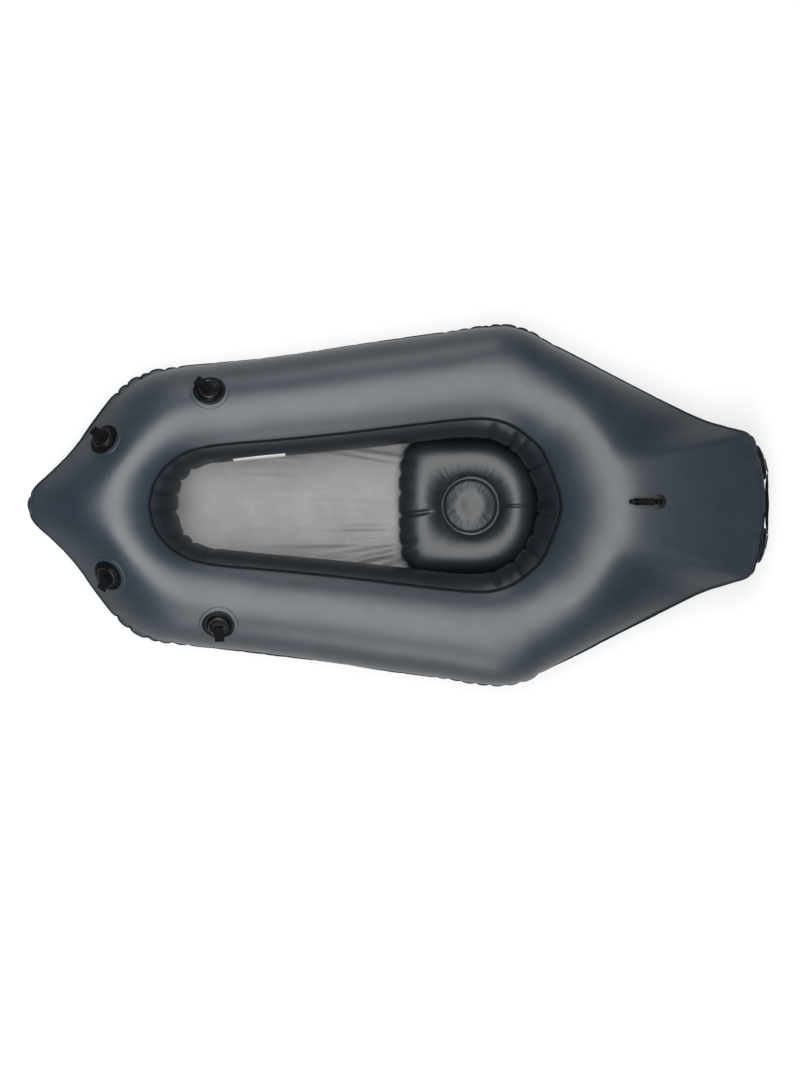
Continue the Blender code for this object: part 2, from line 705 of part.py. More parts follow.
def build_seat(material, pad_material):
    """The inflatable seat, and the grip pad that holds it on the floor."""
    turns = [2.0 * math.pi * k / SEAT_SEGMENTS for k in range(SEAT_SEGMENTS)]
    rings = []
    for share, height in SEAT_EDGE_RINGS:
        reaches = [seat_reach(t) * share for t in turns]
        rings.append([(r * math.cos(t), r * math.sin(t), height) for r, t in zip(reaches, turns)])
    for radius, height in SEAT_INNER_RINGS:
        rings.append([(radius * math.cos(t), radius * math.sin(t), height) for t in turns])
    ends = ((0.0, 0.0, SEAT_BOTTOM), (0.0, 0.0, SEAT_DOME_TOP))
    place = Matrix.Translation((*SEAT_CENTRE, 0.0))
    solid_from_rings("seat_cushion", rings, material, ends, place)
    bpy.ops.mesh.primitive_cube_add(size=1.0)
    pad = bpy.context.object
    pad.name = "seat_grip_pad"
    pad.data.transform(Matrix.Diagonal((*GRIP_PAD_SIZE, 1.0)))
    pad.location = (*SEAT_CENTRE, GRIP_PAD_BOTTOM + GRIP_PAD_SIZE[2] / 2.0)
    pad.data.materials.append(pad_material)
    pad.users_collection[0].objects.unlink(pad)
    bpy.data.collections[COLLECTION].objects.link(pad)


def build_seat_valve(material):
    """The seat's mouth valve behind it, pointing aft, and its pull-out plug."""
    offset = abs(SEAT_VALVE_Y / SEAT_HALF_WIDTH) ** SEAT_REAR_SQUARENESS
    rear = SEAT_CENTRE[0] + SEAT_REAR * (1.0 - offset) ** (1.0 / SEAT_REAR_SQUARENESS)
    root = Vector((rear + SEAT_VALVE_CLEAR, SEAT_VALVE_Y, SEAT_VALVE_Z))
    place = frame_from(root, (0.0, 0.0, 1.0), (1.0, 0.0, 0.0))
    outer, bore, length = SEAT_VALVE_RADIUS, SEAT_VALVE_BORE, SEAT_VALVE_LENGTH
    foot = SEAT_VALVE_FOOT_RADIUS
    stem = (
        (bore, length), (outer, length), (outer, SEAT_VALVE_FOOT), (foot, SEAT_VALVE_FOOT),
        (foot, 0.0), (bore, 0.0),
    )
    turned("seat_valve_stem", stem, place, material, hollow=True)
    inner = bore - GAP
    head = length + GAP
    plug = (
        (0.0, head + SEAT_PLUG_HEAD), (outer, head + SEAT_PLUG_HEAD), (outer, head),
        (inner, head), (inner, length - SEAT_PLUG_LENGTH), (0.0, length - SEAT_PLUG_LENGTH),
    )
    turned("seat_valve_plug", plug, place, material)


def build_mouth_tube(tree, fabric, rubber, moulded):
    """The top-off tube: flange, elbow, hose that lifts at the elbow, and push-pull nozzle."""
    frame = skin_frame(tree, (*MOUTH_BASE, RAY_TOP), (0.0, 0.0, -1.0), (-1.0, 0.0, 0.0))
    bottom, top = DISC_LIFT, DISC_LIFT + FLANGE_THICKNESS
    under = [(MOUTH_FLANGE_INNER, bottom), (MOUTH_FLANGE_RADIUS, bottom)]
    over = [(MOUTH_FLANGE_RADIUS, top), (MOUTH_FLANGE_INNER, top)]
    draped_disc("mouth_tube_flange", tree, frame, fabric, under, over)
    elbow = [(0.0, 0.0, top + GAP)]
    rise = MOUTH_HOSE_LIFT - MOUTH_ELBOW_RADIUS
    for k in range(MOUTH_ELBOW_POINTS):
        turn = math.pi / 2.0 * k / (MOUTH_ELBOW_POINTS - 1)
        reach = MOUTH_ELBOW_RADIUS * (1.0 - math.cos(turn))
        elbow.append((reach, 0.0, rise + MOUTH_ELBOW_RADIUS * math.sin(turn)))
    elbow.append((MOUTH_ELBOW_RADIUS + MOUTH_ELBOW_RUN, 0.0, MOUTH_HOSE_LIFT))
    bent_tube("mouth_tube_elbow", elbow, MOUTH_ELBOW_THICKNESS, rubber).matrix_world = frame
    length, radius, bore = MOUTH_HOSE_LENGTH, MOUTH_HOSE_RADIUS, MOUTH_HOSE_BORE
    pivot = MOUTH_ELBOW_RADIUS + MOUTH_ELBOW_RUN + radius + GAP
    root = frame @ Vector((pivot, 0.0, MOUTH_HOSE_LIFT))
    place = frame_from(root, frame.col[2].to_3d(), frame.col[0].to_3d())
    hose = [(bore, length), (radius, length)]
    ball_end = math.acos(bore / radius)
    for k in range(MOUTH_BALL_POINTS):
        turn = ball_end * k / (MOUTH_BALL_POINTS - 1)
        hose.append((radius * math.cos(turn), -radius * math.sin(turn)))
    turned("mouth_tube_hose", hose, place, rubber, hollow=True)
    start = length + GAP
    tip = start + MOUTH_NOZZLE_LENGTH
    collar = MOUTH_NOZZLE_RADIUS
    step = start + MOUTH_COLLAR_LENGTH
    foot = start - MOUTH_SPIGOT_LENGTH
    nozzle = (
        (MOUTH_BORE, tip), (MOUTH_TIP_RADIUS, tip), (MOUTH_NECK_RADIUS, step), (collar, step),
        (collar, start), (bore - GAP, start), (bore - GAP, foot), (MOUTH_BORE, foot),
    )
    turned("mouth_tube_nozzle", nozzle, place, moulded, hollow=True)


def build_valve(panel, tree, fabric, moulded, rubber):
    """The main valve, through a hole in the lower sheet: flange, base, insert, flap and cap."""
    inward = Vector(VALVE_INSIDE) - Vector(VALVE_OUTSIDE)
    frame = skin_frame(tree, VALVE_OUTSIDE, inward, (0.0, 0.0, 1.0))
    bottom, top = VALVE_LIFT, VALVE_LIFT + FLANGE_THICKNESS
    middle = (VALVE_HOLE + VALVE_FLANGE_RADIUS) / 2.0
    inner = VALVE_HOLE + SEAM_GAP
    rings = ((inner, bottom), (middle, bottom), (VALVE_FLANGE_RADIUS, bottom),
             (VALVE_FLANGE_RADIUS, top), (middle, top), (inner, top))
    solid_from_rings("valve_flange", [draped_ring(tree, frame, *ring) for ring in rings], fabric)
    size = {"radius": VALVE_HOLE, "depth": VALVE_CUTTER_DEPTH}
    bpy.ops.mesh.primitive_cylinder_add(vertices=DISC_SEGMENTS, **size)
    cutter = bpy.context.object
    cutter.name = "valve_hole_cutter"
    cutter.users_collection[0].objects.unlink(cutter)
    bpy.data.collections[CUTTERS].objects.link(cutter)
    cutter.matrix_world = frame
    cutter.display_type = "WIRE"
    cutter.hide_render = True
    hole = panel.modifiers.new("Valve hole", "BOOLEAN")
    hole.object = cutter
    under_base = draped_ring(tree, frame, inner, top) + draped_ring(tree, frame, middle, top)
    to_frame = frame.inverted()
    seat = max((to_frame @ point).z for point in under_base) + SEAM_GAP
    rim = seat + VALVE_HEIGHT
    spigot = VALVE_HOLE - SEAM_GAP
    bore = VALVE_BORE
    base = ((bore, rim), (VALVE_BASE_RADIUS, rim), (VALVE_BASE_RADIUS, seat), (spigot, seat),
            (spigot, -VALVE_SPIGOT), (bore, -VALVE_SPIGOT))
    turned("valve_base", base, frame, moulded, hollow=True)
    lip = rim + GAP + VALVE_LIP_HEIGHT
    body = bore - GAP
    throat = body - VALVE_WALL
    insert = ((throat, lip), (VALVE_LIP_RADIUS, lip), (VALVE_LIP_RADIUS, rim + GAP), (body, rim + GAP),
              (body, -VALVE_INSERT_DEPTH), (throat, -VALVE_INSERT_DEPTH))
    turned("valve_insert", insert, frame, moulded, hollow=True)
    flap_top = -VALVE_INSERT_DEPTH - GAP
    flap = ((0.0, flap_top), (body - GAP, flap_top), (body - GAP, flap_top - SKIN), (0.0, flap_top - SKIN))
    turned("valve_flap", flap, frame, rubber)
    cap_bottom = lip + GAP
    edge = VALVE_LIP_RADIUS - VALVE_CAP_EDGE
    cap_top = cap_bottom + VALVE_CAP_HEIGHT
    cap = ((0.0, cap_top), (edge, cap_top), (VALVE_LIP_RADIUS, cap_top - VALVE_CAP_EDGE),
           (VALVE_LIP_RADIUS, cap_bottom), (0.0, cap_bottom))
    turned("valve_cap", cap, frame, moulded)


def build_strip(tree, material):
    """The blank pale strip on the starboard cockpit wall."""
    rows = []
    for row in range(STRIP_ROWS + 1):
        z = STRIP_Z[0] + (STRIP_Z[1] - STRIP_Z[0]) * row / STRIP_ROWS
        line = []
        for column in range(STRIP_COLUMNS + 1):
            x = STRIP_X[0] + (STRIP_X[1] - STRIP_X[0]) * column / STRIP_COLUMNS
            hit = tree.ray_cast(Vector((x, 0.0, z)), Vector((0.0, 1.0, 0.0)))[0]
            line.append(hit - Vector((0.0, STRIP_LIFT, 0.0)))
        rows.append(line)
    skin_object("inner_wall_patch", rows, material, STRIP_THICKNESS, outward=True, mirrored=False)


def main():
    """Builds the boat."""
    clear_scene()
    add_collection(COLLECTION)
    add_collection(CUTTERS).hide_render = True
    slate = add_material("Slate coated fabric", SLATE, 0.42)
    navy = add_material("Navy coated fabric", NAVY, 0.45)
    black = add_material("Black coated fabric", BLACK, 0.50)
    grey = add_material("Grey floor fabric", GREY, 0.45)
    moulded = add_material("Black moulded plastic", BLACK, 0.30)
    webbing = add_material("Black webbing", BLACK, 0.85)
    rubber = add_material("Black rubber", BLACK, 0.60)
    pale = add_material("Blank pale strip", PALE, 0.60)
    top_tree = evaluated(build_top_panel(slate))
    wall_tree = evaluated(build_inner_wall(navy))
    bottom = build_bottom_panel(black)
    end_tree = evaluated(build_end_panel(slate))
    build_seams(black)
    build_floor(grey)
    build_strip(wall_tree, pale)
    build_tie_downs(top_tree, slate, moulded, webbing)
    build_stern_grab(end_tree, slate, moulded, webbing)
    build_seat(slate, webbing)
    build_seat_valve(rubber)
    build_mouth_tube(top_tree, black, rubber, moulded)
    build_valve(bottom, evaluated(bottom), black, moulded, rubber)


main()
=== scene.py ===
"""One-person inflatable packraft: its looks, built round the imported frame.

Metres, +Z up, the bow to -X and starboard to +Y. The hull's skins repeat the CAD's form: a place on the
air chamber has a spoke, counted along the half outline from the bow to the stern, and an angle round the
tube, from the cockpit side (0) over the crest (90) to the rim (180) and under the keel line (270).
"""

import json
import math

import bmesh
import bpy
import numpy as np
from mathutils import Matrix, Vector
from mathutils.bvhtree import BVHTree


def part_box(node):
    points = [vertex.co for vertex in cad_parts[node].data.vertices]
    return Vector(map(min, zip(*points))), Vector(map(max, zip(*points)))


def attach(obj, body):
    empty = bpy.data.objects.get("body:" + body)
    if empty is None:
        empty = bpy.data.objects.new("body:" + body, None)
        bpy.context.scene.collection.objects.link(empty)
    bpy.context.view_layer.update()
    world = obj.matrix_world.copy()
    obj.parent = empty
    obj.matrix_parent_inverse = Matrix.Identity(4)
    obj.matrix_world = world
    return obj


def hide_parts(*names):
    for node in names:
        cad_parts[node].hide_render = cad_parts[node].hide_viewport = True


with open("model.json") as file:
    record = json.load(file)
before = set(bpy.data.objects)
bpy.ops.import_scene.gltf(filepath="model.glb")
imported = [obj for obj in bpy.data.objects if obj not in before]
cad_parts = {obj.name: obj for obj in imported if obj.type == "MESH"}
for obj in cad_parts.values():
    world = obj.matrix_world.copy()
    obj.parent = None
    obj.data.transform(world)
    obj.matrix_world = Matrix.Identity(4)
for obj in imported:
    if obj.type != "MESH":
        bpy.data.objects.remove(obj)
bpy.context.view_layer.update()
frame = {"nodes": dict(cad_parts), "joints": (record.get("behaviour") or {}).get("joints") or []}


def metres(table):
    """A table of millimetres, or of thousandths, in metres or wholes."""
    return np.array(table) / 1000.0


# ------------------------------------------------------------------------------------------------ hull
# The starboard half of the outline as spokes: the rim's X and Y, the cockpit wall's X and Y, and the
# crest's share of the way from the wall to the rim.
SPOKES = metres((
    (-1000, 0, -606, 0, 437), (-984, 45, -605, 24, 434), (-925, 103, -600, 50, 471),
    (-872, 160, -587, 75, 485), (-820, 232, -562, 98, 475), (-767, 303, -524, 113, 469),
    (-722, 343, -480, 118.5, 484), (-668, 367, -434, 123, 491), (-600, 377, -378, 129, 496),
    (-500, 386, -302, 136, 499), (-380, 399, -220, 143.5, 498), (-250, 416, -130, 152.5, 498),
    (-110, 437, -30, 163.5, 499), (20, 455, 60, 174.5, 494), (130, 471, 130, 182.5, 490),
    (215, 486, 185, 185.5, 491), (285, 490, 228, 184.5, 493), (350, 474, 264, 176.5, 498),
    (405, 441, 294, 161, 525), (500, 392, 320, 139, 527), (600, 341, 339, 115, 535),
    (800, 242, 361, 73, 434), (880, 213, 367.5, 53, 403), (930, 198, 371.5, 37, 387),
    (948, 187, 373, 30, 382), (957, 172, 374.2, 24.5, 382), (964, 148, 375.2, 19.5, 382),
    (970, 118, 376, 14.8, 382), (976, 85, 376.8, 10, 381), (981, 50, 377.4, 6, 381),
    (984, 0, 377.8, 0, 381),
))
LAST_SPOKE = len(SPOKES) - 1
RIM, WALL, CREST = (0, 1), (2, 3), (4,)

# Each of these is given at the bow, along the sides and at the stern.
CREST_HEIGHT = (0.330, 0.292, 0.312)
KEEL_HEIGHT = (0.036, 0.0, 0.010)
KEEL_SHARE = (0.40, 0.50, 0.34)
SEAM_ANGLE = (51.0, 46.5, 40.0)
TOP_FLATNESS = (0.90, 0.0, 0.95)
TOP_EASE = (0.45, 0.20, 0.17)
BOTTOM_FLATNESS = (0.55, 0.0, 0.60)
RIM_HEIGHT = (0.225, 0.150, 0.215)

BOW_BLEND = (-0.92, -0.50)
STERN_BLEND = (0.40, 0.92)
RIM_STERN_BLEND = (0.78, 0.975)
WALL_HEIGHT = 0.148
FLOOR_SEAM_ANGLE = -65.0
KEEL_LIFT = 0.0014

END_FACE_HEIGHT = 0.130
END_FACE_LEAST = 0.0004
END_FACE_BLEND = (0.920, 0.975)
END_FACE_X = 0.986
END_FACE_HALF_WIDTH = 0.178
END_FACE_CORNER = 0.034
END_FACE_SQUARENESS = 4.0
END_FACE_TUCK = 0.006

TUBE_RADIUS = 0.146
SKIN = 0.001
COLUMN_SPACING = 0.0056
STEPS_PER_SPOKE = 60
TOP_ROWS = 46
WALL_ROWS = 44
BOTTOM_ROWS = 34
END_ROWS = 22
TINY = 1e-12
SLIVER = 1e-6
NUDGE = 1e-4

# Large puckers of the rim seam, where the photograph shows them: X on each side, depth, reach.
STARBOARD_PUCKERS = metres((
    (-764, 7.5, 22), (-740, 8, 24), (-705, 9.5, 26), (-683, 8, 20), (-639, 10, 24), (-605, 6, 18),
    (124, 3.5, 14), (155, 3.5, 16), (189, 6, 20), (224, 3.5, 16), (243, 8, 30), (273, 5, 22),
    (319, 7, 24), (351, 5.5, 22), (381, 4, 18), (416, 3, 16),
))
PORT_PUCKERS = metres((
    (-767, 7, 24), (-734, 8.5, 26), (-683, 9, 28), (-653, 6, 18), (-616, 8.5, 22), (-575, 5, 18),
    (100, 3, 14), (132, 5, 18), (165, 4.5, 18), (205, 7, 24), (243, 6.5, 24), (286, 7, 24), (327, 7, 22),
    (378, 6, 20),
))
PUCKER_LEAN = (-0.3, 0.3)

# Small puckers between them, each zone as (first spoke, last spoke, count, depth, reach), and how far
# they stray from that.
RIM_PUCKERS = (
    (0.4, 3.2, 4, 0.0016, 0.016),
    (8.0, 13.0, 9, 0.0016, 0.014),
    (18.6, 22.5, 5, 0.0010, 0.014),
    (24.0, 26.5, 3, 0.0030, 0.014),
)
SMALL_STRAY = (-0.3, 0.3)
SMALL_DEPTH = (0.55, 1.15)
SMALL_REACH = (0.7, 1.8)
SMALL_LEAN = (-0.35, 0.35)

NOSE_PUCKERS = ((0.60, 1.0), (0.45, -1.0))
NOSE_PUCKER = (0.0045, 0.012)
STERN_NOTCHES = ((0.964, 0.139), (0.968, -0.082))
STERN_NOTCH = (0.0060, 0.013)
PUCKER_WIDTH = 0.0028
PUCKER_SPREAD = 3.6
PUCKER_FLARE = 0.50

# A crease's section: the sharp fold's share and sharpness, and those of the dip round it.
FOLD_SHARE, FOLD_SHARPNESS = 0.55, 1.2
DIP_SHARE, DIP_SHARPNESS = 0.45, 1.6

# Pleats of the cockpit wall, where the photograph shows them: X, Y, depth.
WALL_PLEATS = metres((
    (-581, 107, 11), (-606, 70, 11), (-632, 32, 10), (-634, -18, 10), (-598, -80, 11), (-577, -112, 10),
    (-513, -130, 4), (-520, 128, 3), (252, 209, 6), (305, 180, 8), (329, 159, 6), (370, 108, 8.5),
    (387, 50, 4), (389, -25, 4.5), (383, -85, 5.5), (366, -134, 8.5), (319, -172, 8.5), (257, -190, 6.5),
))
PLEAT_WIDTH = 0.0042
PLEAT_SPREAD = 3.4
PLEAT_ANGLE = 25.0
PLEAT_START = (1.0, 11.0)
PLEAT_BULGE = 0.45
PLEAT_BULGE_WIDTH = 8.0 * PLEAT_WIDTH

SEED = 11


def ramp(value, span):
    """0 before the span, 1 after it, with level ends. A span may run downwards."""
    share = np.clip((value - span[0]) / (span[1] - span[0]), 0.0, 1.0)
    return share * share * (3.0 - 2.0 * share)


def unit(vectors):
    """The vectors at length 1."""
    return vectors / np.maximum(np.linalg.norm(vectors, axis=-1, keepdims=True), TINY)


def shares(count):
    """Even shares from 0 to 1, as a column."""
    return np.linspace(0.0, 1.0, count)[:, None]


def turns_of(count):
    """Even angles round a whole turn."""
    return np.linspace(0.0, math.tau, count, endpoint=False)


def lengths_along(points):
    """The distance along a polyline at each of its points."""
    return np.concatenate(((0.0,), np.cumsum(np.linalg.norm(np.diff(points, axis=0), axis=1))))


def neighbours(grid, axis):
    """The step over each point of a closed grid or line, from the point before it to the one after."""
    return np.roll(grid, -1, axis) - np.roll(grid, 1, axis)


def along_boat(x, values, stern_blend=STERN_BLEND):
    """A value that changes from the bow's to the sides' to the stern's."""
    bow, side, stern = values
    return bow + (side - bow) * ramp(x, BOW_BLEND) + (stern - side) * ramp(x, stern_blend)


def spoke_point(spoke, what):
    """A spoke's rim or wall point, or its crest share, on a smooth curve through the table."""
    points = SPOKES[:, what]
    mirror = np.array((1.0, -1.0))[: len(what)]
    points = np.vstack((points[1] * mirror, points, points[-2] * mirror))
    first = np.clip(np.floor(spoke).astype(int), 0, LAST_SPOKE - 1)
    t = (spoke - first)[..., None]
    before, start, stop, after = (points[first + k] for k in range(4))
    return 0.5 * (
        2.0 * start + (stop - before) * t
        + (2.0 * before - 5.0 * start + 4.0 * stop - after) * t**2
        + (3.0 * start - before - 3.0 * stop + after) * t**3
    )


def rim_drop(x):
    """How far the lower rim lies under the upper one: only the stern's end face parts them."""
    return END_FACE_HEIGHT * ramp(x, END_FACE_BLEND)


def end_face_point(spoke, share):
    """A point of the stern's end face, from the upper rim (0) to the lower rim (1)."""
    x, y = np.moveaxis(spoke_point(spoke, RIM), -1, 0)
    z = along_boat(x, RIM_HEIGHT, RIM_STERN_BLEND)
    drop = rim_drop(x)
    full = drop / END_FACE_HEIGHT
    middle_x = END_FACE_X - END_FACE_CORNER * (y / END_FACE_HALF_WIDTH) ** END_FACE_SQUARENESS
    low_x = x + (middle_x - END_FACE_TUCK - x) * full
    swell = (middle_x - (x + low_x) / 2.0) * full
    across = x + (low_x - x) * share + swell * np.sin(math.pi * share)
    return np.stack(np.broadcast_arrays(across, y, z - drop * share), -1)


def hull_point(spoke, angle):
    """A point of the air chamber's skin, on the starboard half."""
    spoke, angle = np.broadcast_arrays(np.asarray(spoke, float), np.asarray(angle, float))
    angle = np.where(angle < 0.0, angle + 360.0, angle)
    rim = spoke_point(spoke, RIM)
    wall = spoke_point(spoke, WALL)
    x = rim[..., 0]
    upper = angle <= 180.0
    outer = (angle >= 90.0) & (angle <= 270.0)
    middle_share = np.where(upper, spoke_point(spoke, CREST)[..., 0], along_boat(x, KEEL_SHARE))
    height = np.where(upper, along_boat(x, CREST_HEIGHT), along_boat(x, KEEL_HEIGHT) + KEEL_LIFT)
    middle = wall + (rim - wall) * middle_share[..., None]
    step = np.where(upper, np.abs(angle - 90.0), np.abs(angle - 270.0))
    flatness = np.where(upper, along_boat(x, TOP_FLATNESS), along_boat(x, BOTTOM_FLATNESS)) * outer
    ease = np.where(upper, along_boat(x, TOP_EASE), 0.0)
    share = step / 90.0
    fall = (np.hypot(share, ease) - ease) / (np.hypot(1.0, ease) - ease)
    reach = (1.0 - flatness) * np.sin(np.radians(step)) + flatness * share
    rise = (1.0 - flatness) * np.cos(np.radians(step)) + flatness * (1.0 - fall)
    low_rim = end_face_point(spoke, 1.0)
    high_rim = np.concatenate((rim, along_boat(x, RIM_HEIGHT, RIM_STERN_BLEND)[..., None]), -1)
    side = np.where(upper[..., None], high_rim, low_rim)
    inner = np.concatenate((wall, np.full_like(x, WALL_HEIGHT)[..., None]), -1)
    side = np.where(outer[..., None], side, inner)
    plan = middle + (side[..., :2] - middle) * reach[..., None]
    z = side[..., 2] + (height - side[..., 2]) * rise
    return np.concatenate((plan, z[..., None]), -1)


def under_rim_point(spoke, depth):
    """A point measured down from the upper rim: on the end face first, then on the lower skin."""
    spoke, depth = np.broadcast_arrays(np.asarray(spoke, float), np.asarray(depth, float))
    drop = rim_drop(spoke_point(spoke, RIM)[..., 0])
    face = end_face_point(spoke, np.clip(depth / np.maximum(drop, SKIN), 0.0, 1.0))
    below = hull_point(spoke, 180.0 + np.degrees(np.maximum(depth - drop, SLIVER) / TUBE_RADIUS))
    return np.where((depth < drop)[..., None], face, below)


def seam_angle(spoke):
    """The cockpit seam's angle round the tube."""
    return along_boat(spoke_point(spoke, RIM)[..., 0], SEAM_ANGLE)


class Ring:
    """The columns of the hull's skins: evenly spaced places round the whole rim, from the bow aft along
    the starboard side and back along the port side."""

    fine = np.linspace(0.0, LAST_SPOKE, LAST_SPOKE * STEPS_PER_SPOKE + 1)
    stations = lengths_along(spoke_point(fine, RIM))
    half = stations[-1]
    count = 2 * round(half / COLUMN_SPACING)
    station = np.arange(count) * 2.0 * half / count
    folded = np.minimum(station, 2.0 * half - station)
    spoke = np.interp(folded, stations, fine)
    side = np.where(station <= half, 1.0, -1.0)

    @classmethod
    def station_of(cls, spoke, side):
        """The station of a place given by its spoke and its side of the boat."""
        there = np.interp(spoke, cls.fine, cls.stations)
        return there if side > 0 else 2.0 * cls.half - there

    @classmethod
    def nearest(cls, x, y, angle):
        """The station at which the skin, at an angle, comes nearest to a place in plan."""
        skin = hull_point(cls.fine, angle)[:, :2]
        gaps = np.linalg.norm(skin - (x, abs(y)), axis=1)
        return cls.station_of(cls.fine[gaps.argmin()], y)

    @classmethod
    def away(cls, place):
        """The distance of each column from a station, along the rim."""
        return (cls.station - place + cls.half) % (2.0 * cls.half) - cls.half


def mirrored(points):
    """The columns' points with those of the port side put on that side."""
    return points * np.stack((np.ones_like(Ring.side), Ring.side, np.ones_like(Ring.side)), -1)


def rim_puckers():
    """The rim seam's puckers: station, depth, reach and lean of each."""
    draws = np.random.default_rng(SEED)
    found = []
    for side, puckers in ((1.0, STARBOARD_PUCKERS), (-1.0, PORT_PUCKERS)):
        for x, depth, reach in puckers:
            spoke = np.interp(x, spoke_point(Ring.fine, RIM)[:, 0], Ring.fine)
            found.append((Ring.station_of(spoke, side), depth, reach, draws.uniform(*PUCKER_LEAN)))
        for first, last, count, depth, reach in RIM_PUCKERS:
            ends = [Ring.station_of(spoke, side) for spoke in (first, last)]
            stray = draws.uniform(*SMALL_STRAY, count) * abs(ends[1] - ends[0]) / count
            for place in np.linspace(*ends, count) + stray:
                deep, far = depth * draws.uniform(*SMALL_DEPTH), reach * draws.uniform(*SMALL_REACH)
                found.append((place, deep, far, draws.uniform(*SMALL_LEAN)))
    for spoke, side in NOSE_PUCKERS:
        found.append((Ring.station_of(spoke, side), *NOSE_PUCKER, 0.0))
    for point in STERN_NOTCHES:
        found.append((Ring.nearest(*point, 180.0), *STERN_NOTCH, 0.0))
    return found


PUCKERS = rim_puckers()
PLEATS = [(Ring.nearest(x, y, PLEAT_ANGLE), depth) for x, y, depth in WALL_PLEATS]
WALL_SCALE = np.linalg.norm(np.gradient(hull_point(Ring.spoke, PLEAT_ANGLE), axis=0), axis=1)
WALL_SCALE = np.maximum(WALL_SCALE, NUDGE) / (2.0 * Ring.half / Ring.count)


def crease(along, width, spread):
    """A crease's section: a sharp fold in a shallow dip."""
    sharp = np.exp(-((along / width) ** FOLD_SHARPNESS))
    return FOLD_SHARE * sharp + DIP_SHARE * np.exp(-((along / (spread * width)) ** DIP_SHARPNESS))


def pucker_depth(distance):
    """How far the rim's puckers draw the skin in, for columns and distances from the rim."""
    depth = np.zeros(np.broadcast_shapes(distance.shape, Ring.station.shape))
    for place, strength, reach, lean in PUCKERS:
        along = np.abs(Ring.away(place) - lean * distance)
        width = PUCKER_WIDTH + PUCKER_FLARE * distance
        depth += strength * np.exp(-distance / reach) * crease(along, width, PUCKER_SPREAD)
    return depth


def pleat_depth(angle):
    """How far the cockpit wall's pleats draw the skin in, less the lobes' swelling between them."""
    strength = ramp(seam_angle(Ring.spoke) - angle, PLEAT_START)
    depth = np.zeros(angle.shape)
    for place, deep in PLEATS:
        along = np.abs(Ring.away(place)) * WALL_SCALE
        swell = np.exp(-((along / PLEAT_BULGE_WIDTH) ** 2))
        depth += deep * (crease(along, PLEAT_WIDTH, PLEAT_SPREAD) - PLEAT_BULGE * swell)
    return depth * strength


def grid_normals(points):
    """The outward normals of a grid: its rows run round the tube, its columns round the boat."""
    return unit(np.cross(neighbours(points, 1), np.gradient(points, axis=0)))


def grid_object(name, points, material, close_columns=True, close_rows=False, caps=False):
    """A mesh object through a grid of points, smooth shaded."""
    rows, columns = points.shape[:2]
    index = np.arange(rows * columns).reshape(rows, columns)
    rings = [index[0].tolist(), index[-1].tolist()[::-1]]
    if close_rows:
        index = np.vstack((index, index[:1]))
    if close_columns:
        index = np.hstack((index, index[:, :1]))
    quads = np.stack((index[:-1, :-1], index[:-1, 1:], index[1:, 1:], index[1:, :-1]), -1)
    faces = quads.reshape(-1, 4).tolist()
    if caps:
        faces += [ring[::-1] for ring in rings]
    mesh = bpy.data.meshes.new(name)
    mesh.from_pydata(points.reshape(-1, 3).tolist(), [], faces)
    mesh.materials.append(material)
    mesh.shade_smooth()
    obj = bpy.data.objects.new(name, mesh)
    bpy.context.scene.collection.objects.link(obj)
    return obj


def make_solid(obj, fill=False):
    """Turns a closed mesh's faces outward, once its open ends are filled where it has them."""
    shape = bmesh.new()
    shape.from_mesh(obj.data)
    if fill:
        bmesh.ops.holes_fill(shape, edges=shape.edges)
    bmesh.ops.recalc_face_normals(shape, faces=shape.faces)
    shape.to_mesh(obj.data)
    shape.free()


def sweep(name, path, ups, section, material, closed=True):
    """A solid along a path, of a section given as (across, up). Ups are the path's own."""
    around = unit(neighbours(path, 0) if closed else np.gradient(path, axis=0))
    across = unit(np.cross(around, ups))
    ups = unit(np.cross(across, around))
    grid = path + across * section[..., :1] + ups * section[..., 1:]
    obj = grid_object(name, grid, material, close_columns=closed, close_rows=True)
    make_solid(obj, fill=not closed)
    return obj


def round_section(radius, sides):
    """A round section for a sweep, of one radius or of one for each point of the path."""
    turns = turns_of(sides)[:, None]
    return np.stack((radius * np.cos(turns), radius * np.sin(turns)), -1)


def add_thickness(obj, thickness=SKIN, offset=-1.0):
    """Gives a sheet its thickness."""
    solidify = obj.modifiers.new("Thickness", "SOLIDIFY")
    solidify.thickness = thickness
    solidify.offset = offset


def place_piece(obj, body, *nodes):
    """Puts a piece on its body and hides the CAD nodes that it stands for."""
    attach(obj, body)
    if nodes:
        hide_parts(*nodes)
    return obj


def corners_of(obj):
    """The mesh's points."""
    return np.array([vertex.co for vertex in obj.data.vertices])


def tree_of(obj):
    """The object's surface as a tree for ray casts."""
    bpy.context.view_layer.update()
    return BVHTree.FromObject(obj, bpy.context.evaluated_depsgraph_get())


